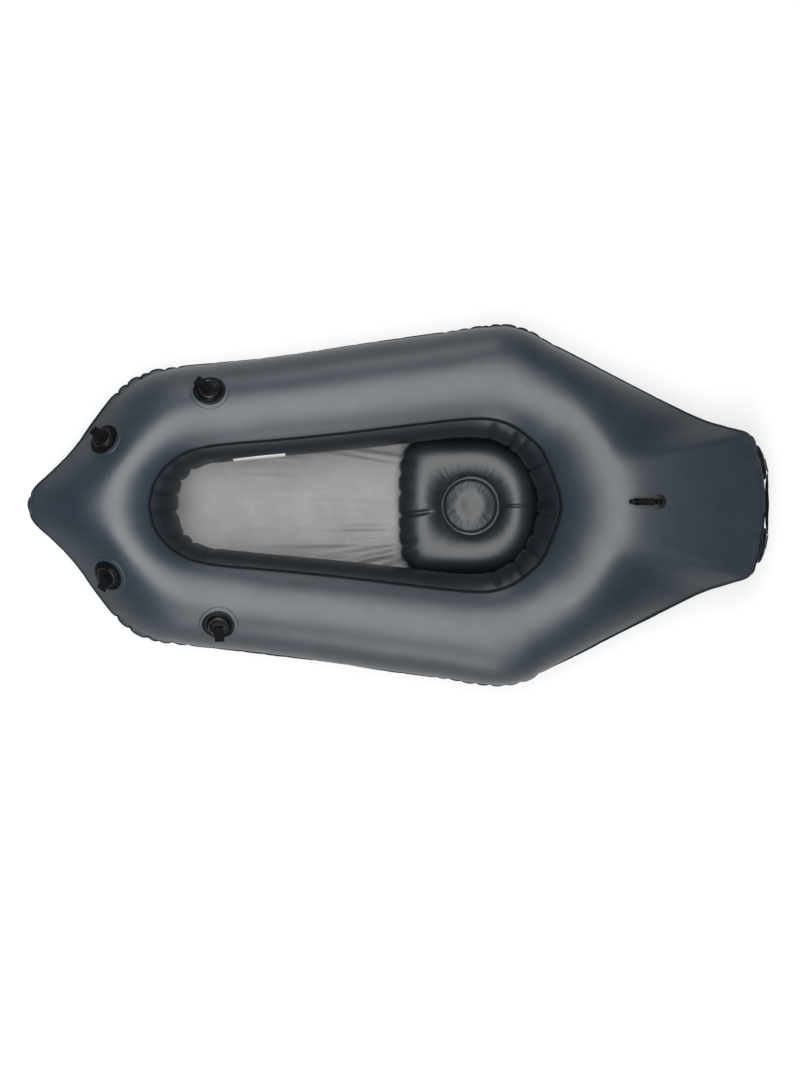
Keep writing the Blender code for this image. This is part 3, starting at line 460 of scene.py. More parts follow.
# ------------------------------------------------------------------------------------------- materials
class Nodes:
    """A material's node tree under construction."""

    def __init__(self, name):
        self.material = bpy.data.materials.new(name)
        self.material.use_nodes = True
        self.tree = self.material.node_tree
        self.shader = self.tree.nodes["Principled BSDF"]
        self.place = self.add("ShaderNodeTexCoord").outputs["Object"]

    def add(self, kind, **settings):
        """A new node with its settings."""
        node = self.tree.nodes.new(kind)
        for key, value in settings.items():
            setattr(node, key, value)
        return node

    def link(self, output, socket):
        """Joins an output to a socket."""
        self.tree.links.new(output, socket)

    def noise(self, scale, detail=4.0, roughness=0.55):
        """A noise texture's value, over the object's own coordinates."""
        node = self.add("ShaderNodeTexNoise")
        for socket, number in (("Scale", scale), ("Detail", detail), ("Roughness", roughness)):
            node.inputs[socket].default_value = number
        self.link(self.place, node.inputs["Vector"])
        return node.outputs["Fac"]

    def between(self, value, low, high, source=(0.3, 0.7)):
        """A value spread from the source range onto another."""
        node = self.add("ShaderNodeMapRange")
        self.link(value, node.inputs["Value"])
        for socket, number in zip(("From Min", "From Max", "To Min", "To Max"), (*source, low, high)):
            node.inputs[socket].default_value = number
        return node.outputs["Result"]

    def ramp(self, value, stops):
        """The shader's colour picked by a value, from stops of (place, colour)."""
        node = self.add("ShaderNodeValToRGB")
        for element, (place, colour) in zip(node.color_ramp.elements, stops):
            element.position = place
            element.color = (*colour, 1.0)
        self.link(value, node.inputs["Fac"])
        self.link(node.outputs["Color"], self.shader.inputs["Base Color"])

    def rough(self, value, low, high):
        """The shader's roughness spread between two numbers by a value."""
        self.link(self.between(value, low, high), self.shader.inputs["Roughness"])

    def sum(self, first, second, weight=1.0):
        """The first value plus the second times the weight."""
        node = self.add("ShaderNodeMath", operation="MULTIPLY_ADD")
        self.link(second, node.inputs[0])
        node.inputs[1].default_value = weight
        self.link(first, node.inputs[2])
        return node.outputs[0]

    def bump(self, height, distance, strength=1.0, after=None):
        """A bump on the shader's normal, in metres."""
        node = self.add("ShaderNodeBump")
        node.inputs["Distance"].default_value = distance
        node.inputs["Strength"].default_value = strength
        self.link(height, node.inputs["Height"])
        if after:
            self.link(after, node.inputs["Normal"])
        self.link(node.outputs["Normal"], self.shader.inputs["Normal"])
        return node.outputs["Normal"]

    def weave(self, pitch, vector=None):
        """A plain weave's height over two directions."""
        split = self.add("ShaderNodeSeparateXYZ")
        self.link(vector or self.place, split.inputs[0])
        product = self.add("ShaderNodeMath", operation="MULTIPLY")
        for k, axis in enumerate("XY"):
            node = self.add("ShaderNodeMath", operation="MULTIPLY")
            self.link(split.outputs[axis], node.inputs[0])
            node.inputs[1].default_value = math.tau / pitch
            sine = self.add("ShaderNodeMath", operation="SINE")
            self.link(node.outputs[0], sine.inputs[0])
            self.link(sine.outputs[0], product.inputs[k])
        return product.outputs[0]

    def set(self, **values):
        """Constant values on the shader's own sockets."""
        for key, value in values.items():
            self.shader.inputs[key.replace("_", " ")].default_value = value


# Noises as (scale, detail, roughness), and bumps as (distance, strength).
MOTTLE, SPECKLE = (9.0, 5.0, 0.6), (160.0, 3.0)
PATCHES, SPOTS = (26.0, 6.0, 0.65), (260.0, 3.0)
SOFT_WAVES, SOFT_STRENGTH = (14.0, 3.0, 0.5), 0.5
PEBBLE, PEBBLE_BUMP = (170.0, 3.0, 0.6), (0.00006, 0.8)
GRAIN, GRAIN_PITCH, GRAIN_BUMP = (900.0, 2.0), 0.0011, (0.00004, 0.7)
FABRIC_SPREAD = (-0.05, 0.06)
PLASTIC_TINT, PLASTIC_MARKS = (60.0, 4.0), (300.0, 5.0)
PLASTIC_GRAIN, PLASTIC_BUMP = (1400.0, 2.0), (0.00002, 0.6)
PLASTIC_SPREAD = (-0.05, 0.10)
FUZZ, RIB_PITCH, RIB_BUMP = (1200.0, 3.0), 0.0022, (0.00035, 0.9)
WEBBING_ROUGHNESS = (0.72, 0.9)
WEBBING_SPECULAR = 0.04


def coated_fabric(name, dark, light, roughness, specular=0.33, waves=0.0014):
    """A coated fabric: mottled colour, fine pebble of the coating, faint weave and soft waves."""
    nodes = Nodes(name)
    mottle = nodes.sum(nodes.noise(*MOTTLE), nodes.noise(*SPECKLE), 0.35)
    nodes.ramp(mottle, ((0.35, dark), (0.95, light)))
    patchy = nodes.sum(nodes.noise(*PATCHES), nodes.noise(*SPOTS), 0.5)
    nodes.rough(patchy, *(roughness + spread for spread in FABRIC_SPREAD))
    soft = nodes.bump(nodes.noise(*SOFT_WAVES), waves, SOFT_STRENGTH)
    pebble = nodes.bump(nodes.noise(*PEBBLE), *PEBBLE_BUMP, soft)
    grain = nodes.sum(nodes.noise(*GRAIN), nodes.weave(GRAIN_PITCH), 0.12)
    nodes.bump(grain, *GRAIN_BUMP, pebble)
    nodes.set(Specular_IOR_Level=specular)
    return nodes.material


def moulded_plastic(name, colour, roughness, specular=0.33):
    """A moulded black plastic with a faint spark-eroded grain and handling marks."""
    nodes = Nodes(name)
    lighter = tuple(2.0 * c + 0.001 for c in colour)
    nodes.ramp(nodes.noise(*PLASTIC_TINT), ((0.3, colour), (0.9, lighter)))
    nodes.rough(nodes.noise(*PLASTIC_MARKS), *(roughness + spread for spread in PLASTIC_SPREAD))
    nodes.bump(nodes.noise(*PLASTIC_GRAIN), *PLASTIC_BUMP)
    nodes.set(Specular_IOR_Level=specular)
    return nodes.material


def webbing_cloth(name, dark, light):
    """Woven nylon webbing: ribs across the strap, from the weave attribute of the mesh."""
    nodes = Nodes(name)
    weave = nodes.add("ShaderNodeAttribute", attribute_name="weave").outputs["Vector"]
    height = nodes.weave(RIB_PITCH, weave)
    fuzz = nodes.noise(*FUZZ)
    tone = nodes.between(nodes.sum(height, fuzz, 0.8), 0.0, 1.0, (-0.8, 1.6))
    nodes.ramp(tone, ((0.1, dark), (0.9, light)))
    nodes.rough(fuzz, *WEBBING_ROUGHNESS)
    nodes.bump(nodes.sum(height, fuzz, 0.3), *RIB_BUMP)
    nodes.set(Specular_IOR_Level=WEBBING_SPECULAR)
    return nodes.material


SLATE = coated_fabric("slate_fabric", (0.0052, 0.0085, 0.0125), (0.0096, 0.0142, 0.0194), 0.37)
# The slate fabric's own hue at about half its brightness: painted shade for the upright cockpit wall.
SLATE_IN_PAINTED_SHADE = coated_fabric("slate_fabric_painted_shade", (0.0028, 0.0046, 0.0067), (0.0055, 0.0080, 0.0108), 0.37)
BLACK_FABRIC = coated_fabric("black_fabric", (0.002, 0.0023, 0.0026), (0.0046, 0.005, 0.0054), 0.46, 0.2)
SEAT_FABRIC = coated_fabric("seat_fabric", (0.0036, 0.0053, 0.007), (0.0076, 0.01, 0.0122), 0.36, 0.26)
FLOOR_FABRIC = coated_fabric("floor_fabric", (0.070, 0.070, 0.069), (0.108, 0.108, 0.105), 0.34, 0.17)
SEAM_BLACK = coated_fabric("seam_black", (0.0010, 0.0011, 0.0014), (0.0027, 0.0028, 0.0032), 0.55, 0.04)
SEAM_WORN = coated_fabric("seam_worn", (0.0012, 0.0017, 0.0024), (0.0072, 0.0104, 0.0145), 0.45, 0.11)
SEAM_LIGHT = coated_fabric("seam_light", (0.012, 0.014, 0.016), (0.024, 0.027, 0.030), 0.30)
STRIP_PALE = coated_fabric("strip_pale", (0.36, 0.36, 0.35), (0.45, 0.45, 0.44), 0.55, 0.30)
PLASTIC = moulded_plastic("moulded_black", (0.0015, 0.0015, 0.0019), 0.22, 0.035)
# A lighter, glossier copy of the puck's plastic, for the bead that paints a highlight on each puck's
# shoulder.
GLINT_PLASTIC = moulded_plastic("glint_black", (0.0040, 0.0040, 0.0048), 0.16, 0.45)
SATIN_PLASTIC = moulded_plastic("satin_black", (0.0020, 0.0021, 0.0025), 0.42, 0.07)
RUBBER = moulded_plastic("rubber_black", (0.0017, 0.0017, 0.0018), 0.58, 0.04)
WEBBING = webbing_cloth("webbing_black", (0.0008, 0.0008, 0.0011), (0.0037, 0.0037, 0.0042))


# ----------------------------------------------------------------------------------------- hull pieces
def pressed(rows, depth):
    """A hull skin's grid with its creases pressed in along the normals."""
    return rows - grid_normals(rows) * depth[..., None]


def under_rim_grid(depths):
    """Points at depths under the rim, puckered as the rim is."""
    rows = mirrored(under_rim_point(Ring.spoke, depths))
    return pressed(rows, pucker_depth(np.broadcast_to(depths, rows.shape[:2])))


def hull_skin(name, rows, material, node, close_columns=True):
    """One sheet of the air chamber."""
    skin = grid_object(name, rows, material, close_columns)
    add_thickness(skin)
    return place_piece(skin, "hull", node)


def build_hull():
    """The air chamber's four skins."""
    start = seam_angle(Ring.spoke)
    angle = start + (180.0 - start) * shares(TOP_ROWS)
    distance = np.radians(180.0 - angle) * TUBE_RADIUS
    rows = pressed(mirrored(hull_point(Ring.spoke, angle)), pucker_depth(distance))
    top = hull_skin("hull_top_skin", rows, SLATE, "tube_top_panel")

    angle = FLOOR_SEAM_ANGLE + (start - FLOOR_SEAM_ANGLE) * shares(WALL_ROWS)
    rows = pressed(mirrored(hull_point(Ring.spoke, angle)), pleat_depth(angle))
    # The wall's skin takes the darkened slate, a painted shade.
    wall = hull_skin("hull_cockpit_wall", rows, SLATE_IN_PAINTED_SHADE, "tube_inner_wall_panel")

    drop = rim_drop(spoke_point(Ring.spoke, RIM)[..., 0])
    angle = 180.0 + (180.0 + FLOOR_SEAM_ANGLE) * shares(BOTTOM_ROWS)
    distance = np.radians(angle - 180.0) * TUBE_RADIUS + drop
    rows = pressed(mirrored(hull_point(Ring.spoke, angle + NUDGE)), pucker_depth(distance))
    bottom = hull_skin("hull_bottom_skin", rows, BLACK_FABRIC, "tube_bottom_panel")

    aft = np.flatnonzero(drop > END_FACE_LEAST)
    rows = under_rim_grid(drop * shares(END_ROWS))[:, aft]
    end = hull_skin("hull_end_face", rows, SLATE, "stern_end_panel", close_columns=False)
    return top, wall, bottom, end


# Cockpit piping, its section as half of its width, the bead on it and its flange.
PIPING_HALF_WIDTH = 0.0042
PIPING_BEAD = 0.0016
PIPING_FLANGE = 0.0007
PIPING_DEPTH = 0.001
KNURL_PITCH = 0.011
KNURL_HEIGHT = 0.00025

# Rim tape and the narrow lip on it, whose reach wanders.
TAPE_HALF_WIDTH = 0.0065
TAPE_RISE = np.array((0.0003, 0.0007, 0.0007, 0.0007, 0.0003))
TAPE_BACK = 0.0006
LIP_HALF_THICKNESS = 0.0006
LIP_REACH = 0.0022
LIP_WAVE = 0.0015
LIP_LIMITS = (0.0005, 0.0052)
LIP_SPAN = 61


def build_piping():
    """The cockpit's beaded seam."""
    angles = seam_angle(Ring.spoke) + np.array((-1.0, 0.0, 1.0))[:, None]
    near = mirrored(hull_point(Ring.spoke, angles))
    knurl = KNURL_HEIGHT * np.sin(math.tau * Ring.station / KNURL_PITCH)
    bead = [(PIPING_BEAD * math.cos(turn), PIPING_FLANGE + PIPING_BEAD * math.sin(turn))
            for turn in np.linspace(math.pi, 0.0, 7)]
    outline = [(PIPING_HALF_WIDTH, -PIPING_DEPTH), (-PIPING_HALF_WIDTH, -PIPING_DEPTH),
               (-PIPING_HALF_WIDTH, PIPING_FLANGE), *bead, (PIPING_HALF_WIDTH, PIPING_FLANGE)]
    section = np.repeat(np.array(outline)[:, None], Ring.count, axis=1)
    section[3:-1, :, 1] += knurl
    piping = sweep("cockpit_piping", near[1], grid_normals(near)[1], section, SEAM_BLACK)
    place_piece(piping, "hull", "cockpit_seam_piping")


def build_rim_seam():
    """The taped, puckered rim with its narrow welded lip."""
    rim = under_rim_grid(np.array((0.0, 0.001, 0.002))[:, None])[:1]
    steps = np.array((TAPE_HALF_WIDTH, TAPE_HALF_WIDTH / 2.0))[:, None]
    upper = mirrored(hull_point(Ring.spoke, 180.0 - np.degrees(steps / TUBE_RADIUS)))
    upper -= grid_normals(np.concatenate((upper, rim)))[:2] * pucker_depth(steps)[..., None]
    skin = np.concatenate((upper, rim, under_rim_grid(steps[::-1])))
    outward = grid_normals(skin)
    kernel = np.hanning(LIP_SPAN)
    kernel /= np.sqrt((kernel**2).sum())
    lap = LIP_SPAN // 2
    wave = np.random.default_rng(SEED + 1).normal(size=Ring.count)
    wave = np.convolve(np.concatenate((wave[-lap:], wave, wave[:lap])), kernel, "valid")
    reach = np.clip(LIP_REACH + LIP_WAVE * wave, *LIP_LIMITS)
    outer = skin + outward * TAPE_RISE[:, None, None]
    lip = skin[2] + outward[2] * reach[:, None]
    half = LIP_HALF_THICKNESS * unit(outer[1] - outer[3])
    inner = skin[::-1] - outward[::-1] * TAPE_BACK
    crown = np.stack((outer[2] + half, lip + half, lip - half, outer[2] - half))
    around = np.concatenate((outer[:2], crown, outer[3:], inner))
    tape = grid_object("rim_seam", around, SEAM_WORN, close_rows=True)
    make_solid(tape)
    place_piece(tape, "hull", "perimeter_seam_tape")


# The floor sheet, its folds as (X, Y, length, width, lean, height), and the ranges of its wrinkles.
FLOOR_LAP = 0.012
FLOOR_SPINE = (-0.45, 0.30)
FLOOR_FLAT_SHARE = 0.66
FLOOR_ROWS = 56
FLOOR_MERGE = 0.0004
FLOOR_THICKNESS = SKIN * 0.6
FLOOR_FOLDS = metres((
    (-50, 140, 90, 5.5, -160, 5), (-75, 126, 80, 4.5, -120, 3.6), (-35, 112, 70, 4, -200, 3.4),
    (-30, -128, 110, 5.5, 240, 6), (-60, -142, 120, 5.5, 200, 5.6), (-85, -112, 100, 4.5, 160, 3.6),
    (-20, -150, 60, 5, 280, 5), (-110, -85, 110, 6, 50, 3), (-120, -60, 120, 6, 20, 2.8),
))
FLOOR_WRINKLES = 34
FLOOR_WRINKLE_RANGES = (
    (-0.36, 0.02), (-0.165, 0.165), (0.05, 0.16), (0.003, 0.009), (-0.05, 0.05), (0.0006, 0.0020),
)


def floor_height(x, y):
    """The folds' and wrinkles' height over the flat floor."""
    draws = np.random.default_rng(SEED + 2)
    folds = list(FLOOR_FOLDS)
    for _ in range(FLOOR_WRINKLES):
        folds.append([draws.uniform(*limits) for limits in FLOOR_WRINKLE_RANGES])
    height = np.zeros_like(x)
    for fx, fy, length, width, lean, high in folds:
        across = y - fy - lean * (x - fx)
        height += high * np.exp(-((across / width) ** 2)) * np.exp(-(((x - fx) / length) ** 2))
    return height


def build_floor():
    """The wrinkled floor sheet, welded to the chamber along its keel line."""
    share = shares(FLOOR_ROWS)
    rim = spoke_point(Ring.spoke, RIM)
    wall = spoke_point(Ring.spoke, WALL)
    keel = wall + (rim - wall) * along_boat(rim[..., 0], KEEL_SHARE)[..., None]
    keel = keel + unit(rim - keel) * FLOOR_LAP
    spine_x = FLOOR_SPINE[0] + (FLOOR_SPINE[1] - FLOOR_SPINE[0]) * Ring.spoke / LAST_SPOKE
    x = keel[..., 0] + (spine_x - keel[..., 0]) * share
    y = keel[..., 1] * (1.0 - share) * Ring.side
    height = along_boat(rim[..., 0], KEEL_HEIGHT) * np.maximum(1.0 - share / FLOOR_FLAT_SHARE, 0.0) ** 2
    rows = np.stack((x, y, height + SKIN + floor_height(x, y)), -1)
    floor = grid_object("floor_panel", rows, FLOOR_FABRIC)
    shape = bmesh.new()
    shape.from_mesh(floor.data)
    bmesh.ops.remove_doubles(shape, verts=shape.verts, dist=FLOOR_MERGE)
    bmesh.ops.recalc_face_normals(shape, faces=shape.faces)
    area = sum(face.calc_area() for face in shape.faces)
    shape.to_mesh(floor.data)
    shape.free()
    floor.data.shade_smooth()
    add_thickness(floor, FLOOR_THICKNESS)
    place_piece(floor, "hull", "floor_sheet")


# ------------------------------------------------------------------------------------------------ seat
SEAT_CENTRE = np.array((0.192, 0.0))
SEAT_FRONT = 0.190
SEAT_REAR = 0.181
SEAT_HALF_WIDTH = 0.184
SEAT_FRONT_SQUARENESS = 6.0
SEAT_REAR_SQUARENESS = 2.6
SEAT_SEGMENTS = 216
SEAT_ROWS = 92
SEAT_BOTTOM = 0.0055

# The seat from under it to its middle, in rings of height over a share of the outline at its edge, and
# over a radius in millimetres on the top and the dome. From the outline's radius to the round one, the
# rings turn from the outline's shape to round.
SEAT_EDGE = (
    (0.55, SEAT_BOTTOM), (0.86, SEAT_BOTTOM + 0.001), (0.955, 0.018), (0.995, 0.046), (0.982, 0.072),
)
SEAT_TOP = metres((
    (174.5, 88.5), (167, 96.2), (158, 102), (148, 106), (138, 108.3), (129, 109), (120, 108.4),
    (111, 106.5), (102, 103.4), (94, 99), (87, 93), (81, 85.5), (75.8, 77.5),
))
SEAT_DOME = metres((
    (73.2, 77.5), (68, 83.2), (58, 87), (42, 88.9), (22, 89.7), (0.5, 89.9),
))
SEAT_ROUND = 0.0758
SEAT_OUTLINE = 0.184
SEAT_SEAM_HEIGHT = 0.050
SEAT_SEAM_RADIUS = 0.0016
SEAT_WELD_RADIUS = 0.0745
SEAT_WELD_LEAST_HEIGHT = 0.07
SEAT_WELD_LIFT = 0.0002
SEAT_WELD_BEAD = 0.0009
SEAM_SIDES = 8

# Seat folds as (turn in degrees, inner radius, outer radius, depth, width).
SEAT_FOLDS = (
    (187.8, 0.112, 0.205, 0.0125, 0.0044), (0.0, 0.08, 0.19, 0.006, 0.0028),
    (169.3, 0.176, 0.24, 0.009, 0.007), (154.7, 0.19, 0.26, 0.008, 0.0075),
    (144.4, 0.2, 0.27, 0.008, 0.0075), (199.0, 0.182, 0.24, 0.006, 0.0075),
    (210.5, 0.188, 0.26, 0.009, 0.008), (221.0, 0.205, 0.27, 0.0055, 0.007),
)
SEAT_FOLD_RISE = (0.012, 0.040)
SEAT_FOLD_EASE = 0.02
SEAT_FOLD_SHARPNESS = 1.3

# Wrinkles of the seat's top round its weld, each zone as (first turn, last turn, count).
SEAT_WRINKLES = ((112.0, 178.0, 17), (-52.0, 50.0, 26), (196.0, 250.0, 12), (60.0, 106.0, 7))
WRINKLE_STRAY = (-1.6, 1.6)
WRINKLE_LEAN = (-0.10, 0.10)
WRINKLE_PIVOT = 0.08
WRINKLE_START = (0.078, 0.090)
WRINKLE_END = (0.100, 0.128)
WRINKLE_EASE = 0.014
WRINKLE_DEPTH = (0.0003, 0.0011)
WRINKLE_WIDTH = (0.0024, 0.0042)
WRINKLE_SHARPNESS = 1.6

# The cloth simulation: its settings, what it holds and how far it may move the cover.
SEAT_CLOTH = {
    "quality": 6, "mass": 0.15, "tension_stiffness": 40.0, "compression_stiffness": 8.0,
    "shear_stiffness": 12.0, "bending_stiffness": 0.04, "shrink_min": -0.025, "use_pressure": True,
    "uniform_pressure_force": 3.0,
}
SEAT_CLOTH_FRAMES = 18
SEAT_CLOTH_LIMIT = 0.006
SEAT_HELD_HEIGHT = SEAT_BOTTOM + 0.004
SEAT_HELD_WIDTH = 0.0032


def seat_reach(turn):
    """The seat's outline as a distance from its centre weld."""
    ahead = np.cos(turn) < 0.0
    length = np.where(ahead, SEAT_FRONT, SEAT_REAR)
    power = np.where(ahead, SEAT_FRONT_SQUARENESS, SEAT_REAR_SQUARENESS)
    along = np.abs(np.cos(turn) / length) ** power
    across = np.abs(np.sin(turn) / SEAT_HALF_WIDTH) ** power
    return (along + across) ** (-1.0 / power)


def spline_through(stations, rings, wanted):
    """Smooth curves through rings of points, at wanted places of the stations."""
    tangents = np.gradient(rings, stations, axis=0)
    k = np.clip(np.searchsorted(stations, wanted, side="right") - 1, 0, len(stations) - 2)
    span = (stations[k + 1] - stations[k])[:, None, None]
    t = ((wanted - stations[k])[:, None, None]) / span
    return (
        (2 * t**3 - 3 * t**2 + 1) * rings[k] + (t**3 - 2 * t**2 + t) * span * tangents[k]
        + (3 * t**2 - 2 * t**3) * rings[k + 1] + (t**3 - t**2) * span * tangents[k + 1]
    )


def seat_grid(turn):
    """The seat's surface as (radius, height), from under it over the edge to the dome."""
    reach = seat_reach(turn)
    rings = [(reach * share, np.full_like(turn, height)) for share, height in SEAT_EDGE]
    for radius, height in (*SEAT_TOP, *SEAT_DOME):
        share = max(radius - SEAT_ROUND, 0.0) / (SEAT_OUTLINE - SEAT_ROUND)
        rings.append((radius + share * (reach - SEAT_OUTLINE), np.full_like(turn, height)))
    rings = np.array([np.stack(ring, -1) for ring in rings])
    steps = np.linalg.norm(np.diff(rings, axis=0), axis=-1).mean(1)
    stations = np.concatenate(((0.0,), np.cumsum(steps)))
    wanted = np.linspace(0.0, stations[-1], SEAT_ROWS)
    weld = stations[len(SEAT_EDGE) + len(SEAT_TOP) - 1]
    wanted[np.abs(wanted - weld).argmin()] = weld
    return spline_through(stations, rings, wanted)


def turn_from(turn, degrees):
    """The angle from one direction to another, within half a turn."""
    return (turn - math.radians(degrees) + math.pi) % math.tau - math.pi


def seat_creases(turn, radius, height):
    """How far the seat's folds and radial wrinkles draw its cover in."""
    top = ramp(height, SEAT_FOLD_RISE)
    depth = np.zeros_like(radius)
    for degrees, inner, outer, deep, width in SEAT_FOLDS:
        along = np.abs(turn_from(turn, degrees)) * radius
        start = ramp(radius, (inner - SEAT_FOLD_EASE, inner + SEAT_FOLD_EASE))
        reach = start * (1.0 - ramp(radius, (outer, outer + SEAT_FOLD_EASE)))
        depth += deep * np.exp(-((along / width) ** SEAT_FOLD_SHARPNESS)) * reach * top
    draws = np.random.default_rng(SEED + 3)
    for first, last, count in SEAT_WRINKLES:
        for degrees in np.linspace(first, last, count) + draws.uniform(*WRINKLE_STRAY, count):
            lean = draws.uniform(*WRINKLE_LEAN)
            along = np.abs(turn_from(turn, degrees) * radius - lean * (radius - WRINKLE_PIVOT))
            end = draws.uniform(*WRINKLE_END)
            reach = ramp(radius, WRINKLE_START)
            reach = reach * (1.0 - ramp(radius, (end - WRINKLE_EASE, end + WRINKLE_EASE)))
            deep = draws.uniform(*WRINKLE_DEPTH)
            width = draws.uniform(*WRINKLE_WIDTH)
            depth += deep * np.exp(-((along / width) ** WRINKLE_SHARPNESS)) * reach
    return depth


def inflate(seat):
    """Blows the seat's cover up as cloth, held along its centre weld and underneath."""
    rest = corners_of(seat)
    radius = np.linalg.norm(rest[:, :2] - SEAT_CENTRE, axis=1)
    weld = (np.abs(radius - SEAT_WELD_RADIUS) < SEAT_HELD_WIDTH) & (rest[:, 2] > SEAT_SEAM_HEIGHT)
    group = seat.vertex_groups.new(name="Held")
    group.add(np.flatnonzero(weld | (rest[:, 2] < SEAT_HELD_HEIGHT)).tolist(), 1.0, "REPLACE")
    cloth = seat.modifiers.new("Cloth", "CLOTH")
    for key, value in SEAT_CLOTH.items():
        setattr(cloth.settings, key, value)
    cloth.settings.vertex_group_mass = group.name
    cloth.settings.effector_weights.gravity = 0.0
    cloth.collision_settings.use_collision = False
    scene = bpy.context.scene
    for step in range(1, SEAT_CLOTH_FRAMES + 1):
        scene.frame_set(step)
    shift = corners_of(seat.evaluated_get(bpy.context.evaluated_depsgraph_get())) - rest
    length = np.linalg.norm(shift, axis=1, keepdims=True)
    shift *= np.minimum(1.0, SEAT_CLOTH_LIMIT / np.maximum(length, SLIVER))
    seat.modifiers.remove(cloth)
    scene.frame_set(1)
    return (rest + shift).reshape(SEAT_ROWS, SEAT_SEGMENTS, 3)


def build_seat():
    """The inflatable seat, with the thin seams round its centre disc and round its edge."""
    turn = turns_of(SEAT_SEGMENTS)
    radius, height = np.moveaxis(seat_grid(turn), -1, 0)
    ahead = SEAT_CENTRE[0] + radius * np.cos(turn)
    points = np.stack((ahead, SEAT_CENTRE[1] + radius * np.sin(turn), height), -1)
    seat = grid_object("seat_cover", points, SEAT_FABRIC, caps=True)
    points = inflate(seat)
    points = pressed(points, seat_creases(turn, radius, height))
    seat.data.vertices.foreach_set("co", points.reshape(-1).astype(np.float32))
    make_solid(seat)
    seat.data.update()
    smooth = seat.modifiers.new("Smooth", "SUBSURF")
    smooth.levels = 1
    smooth.render_levels = 1
    place_piece(seat, "hull", "seat_cushion")

    spread = np.linalg.norm(points[..., :2] - SEAT_CENTRE, axis=-1).mean(1)
    heights = points[..., 2].mean(1)
    ring = np.abs(np.where(heights > SEAT_WELD_LEAST_HEIGHT, spread, np.inf) - SEAT_WELD_RADIUS).argmin()
    edge = np.abs(heights - SEAT_SEAM_HEIGHT)[: SEAT_ROWS // 2].argmin()
    lifted = points[ring] + (0.0, 0.0, SEAT_WELD_LIFT)
    seam_round("seat_centre_weld", lifted, SEAT_WELD_BEAD, SEAM_LIGHT)
    seam_round("seat_edge_seam", points[edge], SEAT_SEAM_RADIUS, SEAT_FABRIC)


def seam_round(name, path, radius, material):
    """A thin round bead along a closed seam."""
    bead = sweep(name, path, (0.0, 0.0, 1.0), round_section(radius, SEAM_SIDES), material)
    place_piece(bead, "hull")


# ------------------------------------------------------------------------------- fittings on the skins
RAY_TOP = 1.0
RAY_STERN = 1.3
RAY_START = 0.06
NORMAL_SPREAD = 0.02
DOWN = (0.0, 0.0, -1.0)
UP = (0.0, 0.0, 1.0)
AFT = (1.0, 0.0, 0.0)
ROUND_SEGMENTS = 72
TURNED_BEVEL = 0.0004
TURNED_BEVEL_ANGLE = math.radians(32.0)
RIBBED_SHARE = 0.7

# The section of flat webbing, in shares of its width and thickness.
STRAP_SECTION = np.array((
    (-0.5, -0.28), (-0.47, -0.5), (-0.36, -0.5), (-0.18, -0.5), (0.0, -0.5), (0.18, -0.5), (0.36, -0.5),
    (0.47, -0.5), (0.5, -0.28), (0.5, 0.28), (0.47, 0.5), (0.36, 0.5), (0.18, 0.5), (0.0, 0.5),
    (-0.18, 0.5), (-0.36, 0.5), (-0.47, 0.5), (-0.5, 0.28),
))[:, None]

# Tie-downs: the place of the puck's middle, and the way that its loop points.
TIE_DOWNS = {
    "bow_starboard": ((-0.792, 0.176), (-0.70, 0.60)),
    "bow_port": ((-0.781, -0.188), (-0.55, -0.85)),
    "fore_starboard": ((-0.510, 0.307), (-0.75, 0.60)),
    "fore_port": ((-0.486, -0.321), (0.05, -1.0)),
}
STERN_TIES = {"stern_starboard": (0.118, 0.152), "stern_port": (-0.108, 0.152)}

# Their disc and pucks in rings of radius and height over the skin, and the bead that paints a highlight
# on a puck's shoulder.
DISC_RINGS = metres((
    (53.5, -0.8), (53, 1.2), (51.5, 2), (50, 1.6), (49, 2), (47.5, 2), (46.5, 1.5), (45.5, 2), (20, 2),
))
PUCK_RINGS = metres((
    (43, 1), (43.2, 3.4), (42.4, 4.2), (34.5, 4.2), (33.5, 3.6), (32.2, 3.8), (31.2, 5.6), (30.4, 8.2),
    (28.8, 10.4), (26.2, 11.5), (24, 11.2), (23.2, 10.6), (22.4, 10.8), (12, 10.8), (6, 10.8),
))
STERN_PUCK_RINGS = metres((
    (48, 0.5), (48.8, 4), (48, 7.5), (45.5, 9.8), (41, 10.6), (34.5, 10.8), (32, 10.4), (30, 10.8),
    (26.2, 11.4), (23.2, 10.8), (12, 10.8), (6, 10.8),
))
GLINT_RADIUS = 0.0007
GLINT_LEAN = -0.05

# The webbing loops from their side, and the strap at the stern with its sag and its lean in degrees.
LOOP_LENGTH = 0.043
LOOP_RADIUS = 0.0026
LOOP_ROOT_RADIUS = 0.0015
LOOP_SPACING = 0.0012
WEBBING_WIDTH = 0.025
WEBBING_THICKNESS = 0.0015
GRAB_STRAP_THICKNESS = 0.0020
STRAP_END_WIDTH = 0.0121
STRAP_SPACING = 0.002
STRAP_SLICE = 0.0006
STRAP_SAG = 0.0045
STRAP_LEAN = 32.0
STRAP_LEAN_WAVE = 4.0
STRAP_WAVES = 2.3
STRAP_PHASE = 0.7


def frame_from(origin, x_axis, z_axis):
    """A placement with its Z along z_axis and its X as near x_axis as that allows."""
    z_axis = Vector(z_axis).normalized()
    x_axis = Vector(x_axis)
    x_axis = (x_axis - z_axis * x_axis.dot(z_axis)).normalized()
    matrix = Matrix((x_axis, z_axis.cross(x_axis), z_axis)).transposed().to_4x4()
    matrix.translation = origin
    return matrix


def moved(points, place):
    """Points of a placement in the boat's frame."""
    matrix = np.array(place)
    return points @ matrix[:3, :3].T + matrix[:3, 3]


